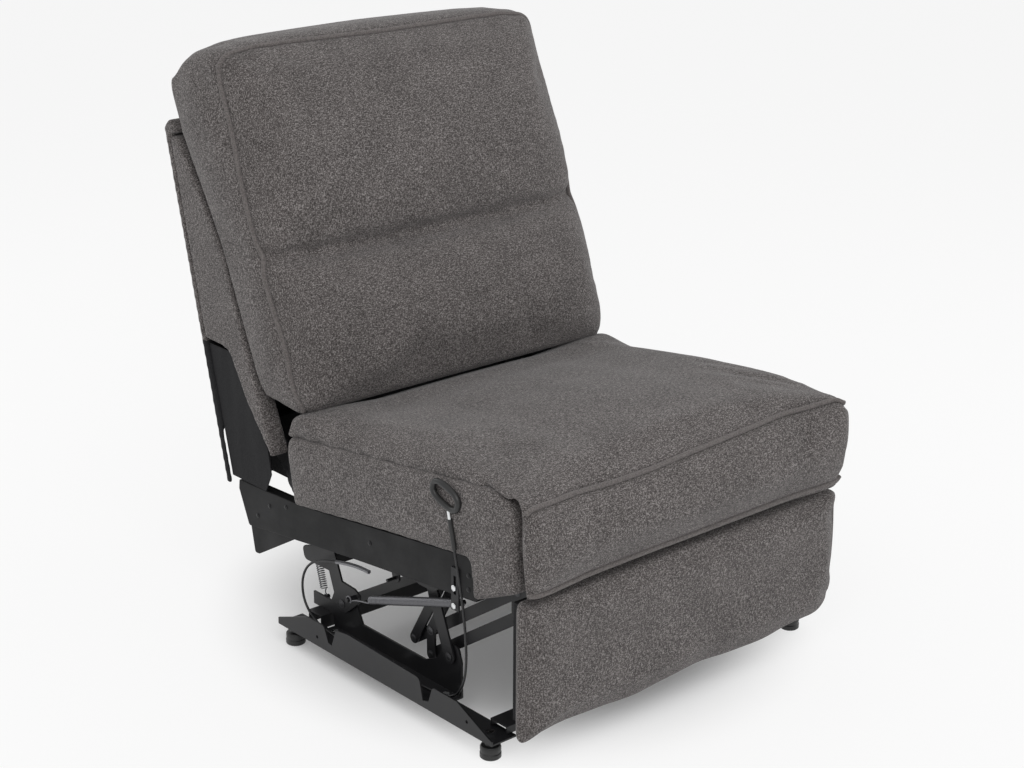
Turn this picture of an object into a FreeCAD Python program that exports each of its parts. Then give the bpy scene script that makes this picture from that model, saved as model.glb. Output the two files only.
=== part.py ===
import FreeCAD, Part
import math
import os

os.makedirs("parts", exist_ok=True)
V = FreeCAD.Vector

# Armless recliner. Lengths are in millimetres. While modelling, y = 0 is the front face of the
# footrest panel, y grows to the rear, x = 0 is the middle and z = 0 the floor. The sitter's right
# is -x, which is also where the release handle hangs.

# Widths: the seat's own, and how far the other parts stand in or out from it on each side
SEAT_WIDTH = 729.0
SIDE_PAD_T = 14.5
PANEL_OVERHANG = 5.0
BACK_INSET = 4.0
CUSHION_INSET = 4.0
CHANNEL_OUTSET = 28.0
RAIL_SPREAD = SEAT_WIDTH - 2 * SIDE_PAD_T
PANEL_WIDTH = SEAT_WIDTH + 2 * PANEL_OVERHANG
BACK_WIDTH = SEAT_WIDTH - 2 * BACK_INSET
BASE_WIDTH = RAIL_SPREAD + 2 * CHANNEL_OUTSET

# Sheet and board thicknesses
LINK_T = 4.0
LAYER_GAP = 2.0
CHANNEL_T = 3.0
RAIL_T = 22.0
BOARD_T = 22.0
FIT = 0.3

# Pivot pins
PIN_R = 5.0
PIN_GAP = 0.1
STUD_PROUD = 1.5
LINK_WIDTH = 20.0

# Pivots of the lift links, as (y, z): two parallel pairs that carry the seat forwards
LIFT_REAR = (520.0, 100.0)
LIFT_FRONT = (230.0, 110.0)
LIFT_REACH = (50.0, 125.0)

# Pivots of the footrest linkage: two parallelograms, one driving the other
DRIVE = (195.0, 300.0)
GUIDE_STEP = (45.0, -30.0)
KNEE = (295.0, 128.0)
LOWER_STEP = (0.0, -44.0)
TOE = (80.0, 275.0)

# Pivots of the back and of the link that ties it to the rear lift link
BACK_PIVOT = (638.0, 305.0)
BACK_ARM_R = 31.9
BACK_ARM_DEG = -76.0
LIFT_HORN_R = 28.0
LIFT_HORN_DEG = 74.0
HORN_SLACK = 1.3
HORN_RISE = 1.0

# Base channels and feet
FOOT_HEIGHT = 38.0
FOOT_R = 17.5
FOOT_Y = (86.9, 615.7)
FOOT_INSET = 23.4
FOOT_X = BASE_WIDTH / 2 - FOOT_INSET
CHANNEL_WIDTH = 52.0
CHANNEL_FRONT = 57.0
CHANNEL_REAR = 634.0
FLANGE_H = 48.0
FRONT_BAR_Y = (67.0, 107.0)
FRONT_BAR_H = 14.0
REAR_BAR_Y = (560.0, 598.0)
REAR_BAR_H = 25.0
BAR_WALL = 2.5

# Upholstery
SEAM_FRONT_Z = 454.0
SEAM_SLOPE = -0.128
BAND_T = 22.0
BAND_BOTTOM = 298.0
BAND_PROUD = 22.0
SEAT_REAR = 630.0
SEAT_CROWN = 50.0
PANEL_BOTTOM = 60.0
PANEL_TOP = 294.0
PAD_T = 28.0
FOOT_BOARD_T = 15.0
CUSHION_CROWN = 38.0

# Outside back
BACK_LEAN = 0.2434
BACK_FOOT = (805.0, 231.0)
BACK_LOW = 246.0
BACK_TOP = 889.0
BACK_PANEL_T = 14.0

# Springs
SPRING_R = 8.0
SPRING_WIRE_R = 1.5
REAR_SPRING_R = 7.0
PEG_R = 4.0
PEG_PROUD = 4.0
LIFT_TURNS = 6
BASE_TURNS = 3

# Release cable
CABLE_R = 2.2
SLEEVE_R = 4.0
SLEEVE_BORE_R = 2.0
WIRE_R = 1.2
RING_R = 4.0

# Plates lie in layers, counted inwards from the wooden side rails
RAIL_OUT = RAIL_SPREAD / 2
RAIL_IN = RAIL_OUT - RAIL_T
LAYER_STEP = LINK_T + LAYER_GAP
SEAT_LAYER = (RAIL_IN - LINK_T, RAIL_IN)
LIFT_LAYER = (SEAT_LAYER[0] - LAYER_STEP, SEAT_LAYER[1] - LAYER_STEP)
BASE_LAYER = (LIFT_LAYER[0] - LAYER_STEP, LIFT_LAYER[1] - LAYER_STEP)
HEAD_ROOM = 2 * STUD_PROUD + LAYER_GAP
DRIVE_LAYER = (BASE_LAYER[0] - HEAD_ROOM - LINK_T, BASE_LAYER[0] - HEAD_ROOM)
LONG_LAYER = (DRIVE_LAYER[0] - LAYER_STEP, DRIVE_LAYER[1] - LAYER_STEP)

CHANNEL_FLOOR = FOOT_HEIGHT + CHANNEL_T
CHANNEL_OUT = BASE_WIDTH / 2
CHANNEL_IN = CHANNEL_OUT - CHANNEL_WIDTH
SPRING_X = RAIL_IN + 10
BASE_SPRING_X = LONG_LAYER[0] + 3
BASE_SCREW_Y = (226.0, 372.0, 530.0)
BASE_SCREW_X = CHANNEL_IN + 6
LIFT_TUBE = (553.0, 172.0)
DEPTH_MID = 468.58
SIDES = {"right": -1, "left": 1}


def add(a, b):
    return (a[0] + b[0], a[1] + b[1])


def polar(centre, radius, degrees):
    angle = math.radians(degrees)
    return (centre[0] + radius * math.cos(angle), centre[1] + radius * math.sin(angle))


SEAT_REAR_PIVOT = add(LIFT_REAR, LIFT_REACH)
SEAT_FRONT_PIVOT = add(LIFT_FRONT, LIFT_REACH)
GUIDE = add(DRIVE, GUIDE_STEP)
GUIDE_KNEE = add(KNEE, GUIDE_STEP)
LOWER_KNEE = add(KNEE, LOWER_STEP)
LOWER_TOE = add(TOE, LOWER_STEP)
BACK_ARM = polar(BACK_PIVOT, BACK_ARM_R, BACK_ARM_DEG)
LIFT_HORN = polar(SEAT_REAR_PIVOT, LIFT_HORN_R, LIFT_HORN_DEG)
LEVER_PIVOT = (372.0, 240.0)
LEVER_HOOK = (367.0, 203.0)
LIFT_PEG = (478.0, 128.0)
SPRING_HANGER = (176.0, 231.0)
ARM_PEG = (622.0, 163.0)
BASE_PEG = (598.0, 78.0)


# Outlines and plates

def rounded_edges(points, place):
    """Edges of a closed outline. A point is (a, b) or (a, b, corner radius)."""
    count = len(points)
    starts, ends, arcs = [], [], []
    for i in range(count):
        here = place(points[i][0], points[i][1])
        before = place(points[i - 1][0], points[i - 1][1])
        after = place(points[(i + 1) % count][0], points[(i + 1) % count][1])
        radius = points[i][2] if len(points[i]) > 2 else 0.0
        back, ahead = (before - here).normalize(), (after - here).normalize()
        half = back.getAngle(ahead) / 2
        if radius <= 0 or half > 1.55:
            starts.append(here)
            ends.append(here)
            arcs.append(None)
            continue
        run = radius / math.tan(half)
        middle = (back + ahead).normalize() * (radius / math.sin(half) - radius)
        first, last = here + back * run, here + ahead * run
        starts.append(first)
        ends.append(last)
        arcs.append(Part.Arc(first, here + middle, last).toShape())
    edges = []
    for i in range(count):
        if arcs[i] is not None:
            edges.append(arcs[i])
        following = starts[(i + 1) % count]
        if (following - ends[i]).Length > 1e-6:
            edges.append(Part.LineSegment(ends[i], following).toShape())
    return edges


def side_wire(points, x):
    return Part.Wire(rounded_edges(points, lambda a, b: V(x, a, b)))


def span(side, layer):
    """Low and high x of a layer on one side of the chair."""
    low, high = side * layer[0], side * layer[1]
    return min(low, high), max(low, high)


def drill(shape, side, layer, point, radius):
    low, high = span(side, layer)
    return shape.cut(Part.makeCylinder(radius, high - low + 2, V(low - 1, *point), V(1, 0, 0)))


def plate(side, layer, points, holes=(), hole_r=PIN_R + PIN_GAP):
    low, high = span(side, layer)
    solid = Part.Face(side_wire(points, low)).extrude(V(high - low, 0, 0))
    for hole in holes:
        solid = drill(solid, side, layer, hole, hole_r)
    return solid


def link(side, layer, start, end, holes, width=LINK_WIDTH):
    """A flat bar with round ends, drilled at each pivot."""
    low, high = span(side, layer)
    along = V(0, end[0] - start[0], end[1] - start[1]).normalize()
    across = V(0, -along.z, along.y) * (width / 2)
    tip = along * (width / 2)
    first, last = V(low, *start), V(low, *end)
    wire = Part.Wire([
        Part.LineSegment(first + across, last + across).toShape(),
        Part.Arc(last + across, last + tip, last - across).toShape(),
        Part.LineSegment(last - across, first - across).toShape(),
        Part.Arc(first - across, first - tip, first + across).toShape(),
    ])
    solid = Part.Face(wire).extrude(V(high - low, 0, 0))
    for hole in holes:
        solid = drill(solid, side, layer, hole, PIN_R + PIN_GAP)
    return solid


def rod(side, point, x0, x1, radius):
    low, high = span(side, (x0, x1))
    return Part.makeCylinder(radius, high - low, V(low, *point), V(1, 0, 0))


def studs(solid, side, points, carrier, reached, outward=False):
    """Rivet studs that stand out of their own plate, through the plates that turn on them."""
    rods = []
    for point in points:
        if outward:
            rods.append(rod(side, point, carrier[1], reached[1] + STUD_PROUD, PIN_R))
        else:
            rods.append(rod(side, point, reached[0] - STUD_PROUD, carrier[0], PIN_R))
    return solid.fuse(rods).removeSplitter()


def box(x0, x1, y0, y1, z0, z1):
    return Part.makeBox(x1 - x0, y1 - y0, z1 - z0, V(x0, y0, z0))


def side_box(side, layer, y0, y1, z0, z1):
    low, high = span(side, layer)
    return box(low, high, y0, y1, z0, z1)


def save(name, *solids):
    """Write the solids of one sub-part, moved so that the chair stands around x = y = 0."""
    moved = []
    for solid in solids:
        copy = solid.copy()
        copy.translate(V(0, -DEPTH_MID, 0))
        moved.append(copy)
    shape = moved[0] if len(moved) == 1 else Part.makeCompound(moved)
    shape.exportStep("parts/" + name + ".step")


# Base: two channels on levelling feet, joined by two cross bars

def flange_points():
    """Outline of a channel's outer flange, with its two stepped cut-outs."""
    bottom, crest = FOOT_HEIGHT, FOOT_HEIGHT + FLANGE_H
    rear_step, front_step = 490.0, 226.0
    return [
        (CHANNEL_REAR, bottom), (CHANNEL_REAR, bottom + 12), (545, crest - 3, 8), (rear_step + 8, crest - 3, 8),
        (rear_step - 4, bottom + 18), (rear_step - 14, bottom + 16), (rear_step - 26, crest + 1, 10),
        (430, crest + 6), (front_step + 12, crest + 1, 10), (front_step + 3, bottom + 12),
        (front_step - 12, bottom + 16), (front_step - 22, crest - 3, 8), (143, crest - 3),
        (CHANNEL_FRONT + 9, bottom + 11), (CHANNEL_FRONT, bottom + 8), (CHANNEL_FRONT, bottom),
    ]


def base_rail(side):
    floor = side_box(side, (CHANNEL_IN, CHANNEL_OUT), CHANNEL_FRONT, CHANNEL_REAR, FOOT_HEIGHT, CHANNEL_FLOOR)
    flange = plate(side, (CHANNEL_OUT - CHANNEL_T, CHANNEL_OUT), flange_points())
    rail = floor.fuse(flange).removeSplitter()
    for y, z in ((518, 55), (118, 57)):
        rail = drill(rail, side, (CHANNEL_OUT - CHANNEL_T, CHANNEL_OUT), (y, z), 3.0)
    for y in (150, 290, 420):
        slot = box(-9, 9, -4, 4, 0, 20).translated(V(side * (CHANNEL_IN + 26), y, FOOT_HEIGHT - 8))
        rail = rail.cut(slot)
    return rail


def cross_bar(y_range, height):
    reach = CHANNEL_IN + 12
    outer = box(-reach, reach, y_range[0], y_range[1], CHANNEL_FLOOR, CHANNEL_FLOOR + height)
    hollow = box(-reach - 1, reach + 1, y_range[0] + BAR_WALL, y_range[1] - BAR_WALL, CHANNEL_FLOOR - 1,
                 CHANNEL_FLOOR + height - BAR_WALL)
    return outer.cut(hollow)


def foot(side, y):
    """Plastic glide under the channel's floor."""
    return Part.makeCylinder(FOOT_R, FOOT_HEIGHT, V(side * FOOT_X, y, 0))


def hexagon(centre, axis, radius, height):
    """Hexagonal bolt head or nut."""
    side_step = V(0, 0, 1) if abs(axis.z) < 0.5 else V(1, 0, 0)
    turn = FreeCAD.Rotation(axis, 60)
    arm, corners = side_step * radius, []
    for _ in range(6):
        corners.append(centre + arm)
        arm = turn.multVec(arm)
    return Part.Face(Part.makePolygon(corners + [corners[0]])).extrude(axis * height)


def foot_nut(side, y):
    return hexagon(V(side * FOOT_X, y, CHANNEL_FLOOR), V(0, 0, 1), 7.5, 5)


def base_plate(side):
    """Upright plate that carries the lift links, with a foot flange turned out over the channel."""
    low, bar_top = CHANNEL_FLOOR, CHANNEL_FLOOR + REAR_BAR_H + FIT
    outline = [
        (205, low), (205, 104), (214, 132, 14), (246, 132, 14), (266, 92, 26), (300, 76), (470, 76),
        (492, 118, 16), (544, 124, 16), (560, 90), (612, 90), (612, bar_top),
        (REAR_BAR_Y[0] - 6, bar_top), (REAR_BAR_Y[0] - 8, low),
    ]
    upright = studs(plate(side, BASE_LAYER, outline), side, [LIFT_REAR, LIFT_FRONT], BASE_LAYER, LIFT_LAYER, True)
    foot_flange = side_box(side, (BASE_LAYER[0], CHANNEL_IN + 14), 205, REAR_BAR_Y[0] - 8, low, low + CHANNEL_T)
    solid = upright.fuse(foot_flange).removeSplitter()
    return solid.fuse(rod(side, BASE_PEG, LONG_LAYER[0] - PEG_PROUD, BASE_LAYER[0], PEG_R)).removeSplitter()


def base_screw(side, y):
    return hexagon(V(side * BASE_SCREW_X, y, CHANNEL_FLOOR + CHANNEL_T), V(0, 0, 1), 7, 4)


# Lift links

def rear_lift_link(side):
    outline = [
        (508, 86, 12), (532, 84, 12), (556, 150), (628, 148, 11), (634, 172, 9), (588, 188, 16),
        (584, 214), (592, 262, 11), (566, 264, 11), (554, 226), (520, 142), (484, 140), (468, 132), (470, 118),
    ]
    solid = plate(side, LIFT_LAYER, outline, [LIFT_REAR, SEAT_REAR_PIVOT])
    solid = studs(solid, side, [LIFT_HORN], LIFT_LAYER, BASE_LAYER)
    peg = rod(side, LIFT_PEG, LIFT_LAYER[1], SPRING_X + SPRING_WIRE_R + PEG_PROUD, PEG_R)
    rear_peg = rod(side, ARM_PEG, LONG_LAYER[0] - PEG_PROUD, LIFT_LAYER[0], PEG_R)
    return solid.fuse([peg, rear_peg]).removeSplitter()


def front_lift_link(side):
    return link(side, LIFT_LAYER, LIFT_FRONT, SEAT_FRONT_PIVOT, [LIFT_FRONT, SEAT_FRONT_PIVOT], 26)


def torque_tube(centre, half, wall, x_half):
    y, z = centre
    outer = box(-x_half, x_half, y - half, y + half, z - half, z + half)
    inner = box(-x_half - 1, x_half + 1, y - half + wall, y + half - wall, z - half + wall, z + half - wall)
    return outer.cut(inner)


for name, side in SIDES.items():
    save("base_rail_" + name, base_rail(side))
    save("base_plate_" + name, base_plate(side))
    save("rear_lift_link_" + name, rear_lift_link(side))
save("front_lift_links", *[front_lift_link(side) for side in SIDES.values()])
save("front_cross_bar", cross_bar(FRONT_BAR_Y, FRONT_BAR_H))
save("rear_cross_bar", cross_bar(REAR_BAR_Y, REAR_BAR_H))
save("levelling_feet", *[foot(side, y) for side in SIDES.values() for y in FOOT_Y])
save("foot_nuts", *[foot_nut(side, y) for side in SIDES.values() for y in FOOT_Y])
save("base_screws", *[base_screw(side, y) for side in SIDES.values() for y in BASE_SCREW_Y])
save("lift_torque_tube", torque_tube(LIFT_TUBE, 9, 2, LIFT_LAYER[0]))


# Seat frame

RAIL_TOP = ((127.0, 327.0), (338.0, 302.0), (605.0, 266.0))


def side_rail(side):
    outline = [
        RAIL_TOP[0], (124, 253, 6), (436, 219), (609, 197), (757, 178, 6), (785, 241), (783, 258),
        RAIL_TOP[2], RAIL_TOP[1],
    ]
    return plate(side, (RAIL_IN, RAIL_OUT), outline)


def heel_bracket(side):
    outline = [(620, 195.3), (735, 128), (747, 127, 5), (757, 177.7)]
    return plate(side, (RAIL_OUT - 12, RAIL_OUT - 4), outline)


def seat_plate(side):
    outline = [
        (174, 322), (174, 284), (222, 248), (258, 217, 14), (302, 217, 14), (322, 236), (350, 221),
        (396, 221), (412, 234), (536, 222), (552, 205, 12), (592, 205, 14), (612, 246), (664, 284, 20),
        (664, 328, 18), (616, 332), (602, 348), (552, 348), (536, 292), (236, 322),
    ]
    solid = plate(side, SEAT_LAYER, outline)
    inner = [SEAT_FRONT_PIVOT, SEAT_REAR_PIVOT, BACK_PIVOT] + ([LEVER_PIVOT] if side < 0 else [])
    solid = studs(solid, side, inner, SEAT_LAYER, LIFT_LAYER)
    return studs(solid, side, [DRIVE, GUIDE], SEAT_LAYER, DRIVE_LAYER)


def spring_hanger(side):
    """Slotted flat bar on the outside of the rail, with the pin that the lift spring hooks on."""
    y, z = SPRING_HANGER
    bar = plate(side, (RAIL_OUT, RAIL_OUT + CHANNEL_T),
                [(y - 9, z - 9), (y + 9, z - 9), (y + 9, 296), (y - 9, 296)])
    low, high = span(side, (RAIL_OUT, RAIL_OUT + CHANNEL_T))
    bar = bar.cut(box(low - 1, high + 1, y - 3, y + 3, 250, 282))
    hook_pin = rod(side, SPRING_HANGER, SPRING_X - SPRING_WIRE_R - PEG_PROUD, RAIL_OUT, PEG_R)
    return bar.fuse(hook_pin).removeSplitter()


FRONT_RAIL_Y = (BAND_T + 1, BAND_T + 1 + BOARD_T)
REAR_RAIL_INSET = 70.0
REAR_RAIL_Y = (SEAT_REAR - REAR_RAIL_INSET, SEAT_REAR - REAR_RAIL_INSET + BOARD_T)
FRONT_RAIL_Z = (306.0, 396.0)
REAR_RAIL_Z = (300.0, 358.0)
SPRING_BAR = 4.0
SPRING_BENDS = 13
SPRING_SWAY = 22.0
SPRING_PITCH = 120.0
CORE_X = SEAT_LAYER[0] - 2


def deck_z(y):
    """Height of the line from the top of the front rail to the top of the rear rail."""
    share = (y - FRONT_RAIL_Y[0]) / (REAR_RAIL_Y[1] - FRONT_RAIL_Y[0])
    return FRONT_RAIL_Z[1] + (REAR_RAIL_Z[1] - FRONT_RAIL_Z[1]) * share


def seat_rail(y_range, z_range, reach):
    y0, y1 = y_range
    outline = [(y0, z_range[0]), (y1, z_range[0]), (y1, deck_z(y1)), (y0, deck_z(y0))]
    return plate(1, (-reach, reach), outline)


def seat_spring(x_middle):
    """One sinuous wire from rail to rail, as a flat zigzag band."""
    y0, y1 = FRONT_RAIL_Y[0] + 2, REAR_RAIL_Y[1] - 2
    step = (y1 - y0) / SPRING_BENDS
    near, far = [], []
    for i in range(SPRING_BENDS + 1):
        y = y0 + step * i
        sway = SPRING_SWAY if i % 2 else -SPRING_SWAY
        near.append(V(x_middle + sway - SPRING_BAR / 2, y, 0))
        far.append(V(x_middle + sway + SPRING_BAR / 2, y, 0))
    ring = near + far[::-1] + [near[0]]
    tilt = math.degrees(math.atan2(deck_z(y1) - deck_z(y0), y1 - y0))
    band = Part.Face(Part.makePolygon(ring)).extrude(V(0, 0, SPRING_BAR))
    band.rotate(V(0, y0, 0), V(1, 0, 0), tilt)
    band.translate(V(0, 0, deck_z(y0)))
    return band


# Seat upholstery

def seam_z(y):
    """Height of the seam between the seat's top and its side panels."""
    return SEAM_FRONT_Z + SEAM_SLOPE * (y - 54.0)


def side_panel(side):
    """Padded fabric panel above the wooden rail, with a rounded front upper corner."""
    front = BAND_T + 2
    outline = [
        (front, BAND_BOTTOM + 4), (118, 259, 8), (RAIL_TOP[0][0] - 3 - FIT, 260),
        (RAIL_TOP[0][0] - FIT, RAIL_TOP[0][1] + FIT), (RAIL_TOP[1][0], RAIL_TOP[1][1] + FIT),
        (RAIL_TOP[2][0], RAIL_TOP[2][1] + FIT), (SEAT_REAR - 4, seam_z(SEAT_REAR) - 1, 20),
        (80, seam_z(80) - 1), (front, SEAM_FRONT_Z - 10, 32),
    ]
    half = SEAT_WIDTH / 2
    inner, shoulder, outer = RAIL_IN + FIT, half - 8, half
    middle = V(0, 330, 350)
    wires = []
    for x, shrink in ((inner, 1.0), (shoulder, 1.0), (outer, 0.965)):
        placed = [(middle.y + (p[0] - middle.y) * shrink, middle.z + (p[1] - middle.z) * shrink, *p[2:])
                  for p in outline]
        wires.append(side_wire(placed, side * x))
    return Part.makeLoft(wires, True, True)


def arc(a, b, c):
    return Part.Arc(a, b, c).toShape()


def line(a, b):
    return Part.LineSegment(a, b).toShape()


def seat_section(x, rise, draw):
    """Closed outline of the seat's top and front band at one x. rise is 0 at the edge, 1 in the middle."""
    crown = SEAT_CROWN * rise + 7
    front = BAND_PROUD * (0.5 + 0.5 * rise) - draw
    rear = SEAT_REAR - draw

    def p(y, z):
        return V(x, y, z)

    def top(y, share):
        return p(y, seam_z(y) + crown * share)

    hip_y, tail_y = SEAT_REAR - 85, SEAT_REAR - 38
    hip, tail = p(hip_y, seam_z(hip_y) + 12 + 24 * rise), p(tail_y, seam_z(tail_y) + 13 + 14 * rise)
    rear_top, rear_under = p(rear, seam_z(rear) + 2), p(rear - 6, seam_z(rear - 6) + FIT)
    front_under, band_heel = p(BAND_T, seam_z(BAND_T) + FIT), p(BAND_T, BAND_BOTTOM + 2)
    band_toe = p(4 + draw, BAND_BOTTOM)
    welt = p(-front * 0.7, 446)
    return Part.Wire([
        line(band_heel, band_toe),
        arc(band_toe, p(-front, 380), welt),
        arc(welt, p(6, 458 + 14 * rise), top(44, 0.55)),
        arc(top(44, 0.55), top(190, 0.98), top(340, 1.0)),
        arc(top(340, 1.0), top(450, 0.93), hip),
        arc(hip, tail, rear_top),
        line(rear_top, rear_under),
        line(rear_under, front_under),
        line(front_under, band_heel),
    ])


# How far across the half width each section of a cushion stands, its rise and how far it is drawn in
SEAT_STATIONS = ((0.0, 1.0, 0.0), (0.3, 0.93, 0.0), (0.58, 0.75, 0.0), (0.8, 0.5, 0.0), (0.94, 0.24, 1.0),
                 (1.0, 0.0, 6.0))


def across(stations, half, section):
    """Loft a section from one edge of a cushion to the other."""
    order = [(-share, *rest) for share, *rest in stations[::-1]] + list(stations[1:])
    return Part.makeLoft([section(half * share, *rest) for share, *rest in order], True, True)


def seat_cushion():
    shell = across(SEAT_STATIONS, SEAT_WIDTH / 2, seat_section)
    lift = SPRING_BAR + FIT
    y0, y1 = FRONT_RAIL_Y[0], REAR_RAIL_Y[1] + 20
    core = [(y0, deck_z(y0) + lift), (y1, deck_z(y1) + lift), (y1, seam_z(y1) + 2), (y0, seam_z(y0) + 2)]
    return shell.fuse(plate(1, (-CORE_X, CORE_X), core)).removeSplitter()


for name, side in SIDES.items():
    save("side_rail_" + name, side_rail(side), heel_bracket(side))
    save("seat_plate_" + name, seat_plate(side))
    save("seat_side_" + name, side_panel(side))
save("spring_hangers", *[spring_hanger(side) for side in SIDES.values()])
save("front_rail", seat_rail(FRONT_RAIL_Y, FRONT_RAIL_Z, SEAT_LAYER[0] + 2))
save("rear_rail", seat_rail(REAR_RAIL_Y, REAR_RAIL_Z, SEAT_LAYER[0]))
save("seat_springs", *[seat_spring(SPRING_PITCH * i) for i in (-2, -1, 0, 1, 2)])
save("seat_cushion", seat_cushion())


# Footrest linkage: links in two layers on each side, the drive tube and the padded panel

TUBE_HALF = 8.0


def drive_link(side):
    """Cranked link from the drive pivot through the knee to the lower knee."""
    upper = link(side, DRIVE_LAYER, DRIVE, KNEE, [])
    lower = link(side, DRIVE_LAYER, KNEE, LOWER_KNEE, [])
    solid = drill(upper.fuse(lower).removeSplitter(), side, DRIVE_LAYER, DRIVE, PIN_R + PIN_GAP)
    return studs(solid, side, [KNEE, LOWER_KNEE], DRIVE_LAYER, LONG_LAYER)


def guide_link(side):
    solid = link(side, DRIVE_LAYER, GUIDE, GUIDE_KNEE, [GUIDE])
    return studs(solid, side, [GUIDE_KNEE], DRIVE_LAYER, LONG_LAYER)


def footrest_bracket(side):
    """Upright ear behind the panel that carries the two toe pivots, with a flange on the board."""
    board = PAD_T + FOOT_BOARD_T
    y, z = TOE
    low_y, low_z = LOWER_TOE
    ear = plate(side, DRIVE_LAYER, [
        (board, z + 8), (y - 4, z + 13, 10), (y + 13, z + 6, 10), (low_y + 13, low_z - 6, 10),
        (low_y - 6, low_z - 14, 10), (board, 120),
    ])
    ear = studs(ear, side, [TOE, LOWER_TOE], DRIVE_LAYER, LONG_LAYER)
    flange = side_box(side, (DRIVE_LAYER[0] - 26, DRIVE_LAYER[1]), board, board + CHANNEL_T, 124, z + 4)
    return ear.fuse(flange).removeSplitter()


def panel_outline(y, inset, drop=0.0):
    """Outline of the footrest panel, looking from the front. Its lower left corner hangs loose and round."""
    half = PANEL_WIDTH / 2 - inset
    low, high = PANEL_BOTTOM + inset + drop, PANEL_TOP - inset
    corners = [(-half, low, 14), (half, low, 60), (half, high, 12), (-half, high, 12)]
    return Part.Wire(rounded_edges(corners, lambda a, b: V(a, y, b)))


def footrest_pad():
    layers = [(PAD_T, 0.0), (PAD_T - 8, -1.0), (8.0, -1.0), (1.0, 4.0), (-2.0, 22.0)]
    return Part.makeLoft([panel_outline(y, inset) for y, inset in layers], True, True)


def footrest_board():
    inset = 22
    half = PANEL_WIDTH / 2 - inset
    return box(-half, half, PAD_T, PAD_T + FOOT_BOARD_T, PANEL_BOTTOM + inset, PANEL_TOP - 10)


for name, side in SIDES.items():
    save("drive_link_" + name, drive_link(side))
    save("long_link_" + name, link(side, LONG_LAYER, GUIDE_KNEE, TOE, [GUIDE_KNEE, KNEE, TOE]))
    save("lower_link_" + name, link(side, LONG_LAYER, LOWER_KNEE, LOWER_TOE, [LOWER_KNEE, LOWER_TOE]))
save("guide_links", *[guide_link(side) for side in SIDES.values()])
save("drive_tube", torque_tube(DRIVE, TUBE_HALF, 2, DRIVE_LAYER[0]))
save("footrest_brackets", *[footrest_bracket(side) for side in SIDES.values()])
save("footrest_board", footrest_board())
save("footrest_pad", footrest_pad())


# Back: brackets and link, wooden frame, fabric shell and cushion

def back_y(z, inward=0.0):
    """Rear face of the back at height z, or a line that lies inward of it."""
    return BACK_FOOT[0] + (z - BACK_FOOT[1]) * BACK_LEAN - inward


FRAME_FRONT = ((918.0, 860.0), (794.0, 681.0), (698.0, 433.0), (661.0, 346.0))
POST_X = (RAIL_IN - 38, RAIL_IN - 13)
COVER_T = 3.0
SHELL_X = (LIFT_LAYER[1] + 1, BACK_WIDTH / 2)
POST_TOP, POST_LOW = 850.0, 300.0


def back_bracket(side):
    y, z = BACK_PIVOT
    arm_y, arm_z = BACK_ARM
    outline = [
        (y - 20, z - 4, 16), (y + 4, z - 16), (arm_y - 10, arm_z - 12, 9), (arm_y + 13, arm_z - 10, 9),
        (arm_y + 20, arm_z + 14), (700, 318), (836, 444, 8), (834, 486, 8), (800, 486), (672, 356, 30),
        (y - 14, z + 24, 16),
    ]
    return studs(plate(side, LIFT_LAYER, outline, [BACK_PIVOT]), side, [BACK_ARM], LIFT_LAYER, BASE_LAYER)


def back_link(side):
    """Ties the back's arm to the rear lift link. Its eye at the horn has play."""
    far = (LIFT_HORN[0], LIFT_HORN[1] + HORN_RISE)
    solid = link(side, BASE_LAYER, far, BACK_ARM, [BACK_ARM], 22)
    return drill(solid, side, BASE_LAYER, far, PIN_R + HORN_SLACK)


def outside_back():
    """Upholstered rear panel that hooks over the top, notched low down for the side rails."""
    deep = BACK_PANEL_T
    outline = [
        (back_y(BACK_LOW), BACK_LOW), (back_y(BACK_TOP - 17), BACK_TOP - 17, 12), (943, BACK_TOP, 8),
        (922, 869), (926, 862), (back_y(862, deep), 862), (back_y(BACK_LOW, deep), BACK_LOW),
    ]
    half = BACK_WIDTH / 2
    panel = plate(1, (-half, half), outline)
    for side in SIDES.values():
        low, high = span(side, (RAIL_IN - 8, RAIL_OUT + 2))
        panel = panel.cut(box(low, high, 700, 900, 200, 346))
    return panel


def back_side(side):
    """Fabric side of the back, cut away low down."""
    deep = BACK_PANEL_T + FIT
    top, tip = FRAME_FRONT[0], FRAME_FRONT[3]
    outline = [
        (back_y(858, deep), 858), (top[0] + 1, 858), (FRAME_FRONT[1][0], FRAME_FRONT[1][1], 60),
        (FRAME_FRONT[2][0], FRAME_FRONT[2][1], 60), tip, (tip[0] + 3, tip[1] - 12),
        (737, 423, 60), (784, 500, 22), (800, 505), (back_y(506, deep), 506),
    ]
    return plate(side, SHELL_X, outline)


def back_cover(side):
    """Black cloth that closes the cut-away part, set in level with the frame."""
    outline = [
        (back_y(285, BACK_PANEL_T + FIT), 285), (back_y(515, BACK_PANEL_T + FIT), 515), (778, 515, 20),
        (712, 400, 30), (674, 318), (678, 285),
    ]
    return plate(side, (POST_X[1], POST_X[1] + COVER_T), outline)


def back_post(side):
    rear = BACK_PANEL_T + FIT
    outline = [
        (back_y(POST_LOW, rear), POST_LOW), (back_y(POST_TOP, rear), POST_TOP),
        (back_y(POST_TOP, rear + 28), POST_TOP), (back_y(POST_LOW, rear + 75), POST_LOW),
    ]
    return plate(side, POST_X, outline)


def back_rail(z0, z1):
    rear = BACK_PANEL_T + FIT
    outline = [
        (back_y(z0, rear), z0), (back_y(z1, rear), z1), (back_y(z1, rear + BOARD_T), z1),
        (back_y(z0, rear + BOARD_T), z0),
    ]
    return plate(1, (-POST_X[0], POST_X[0]), outline)


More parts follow.
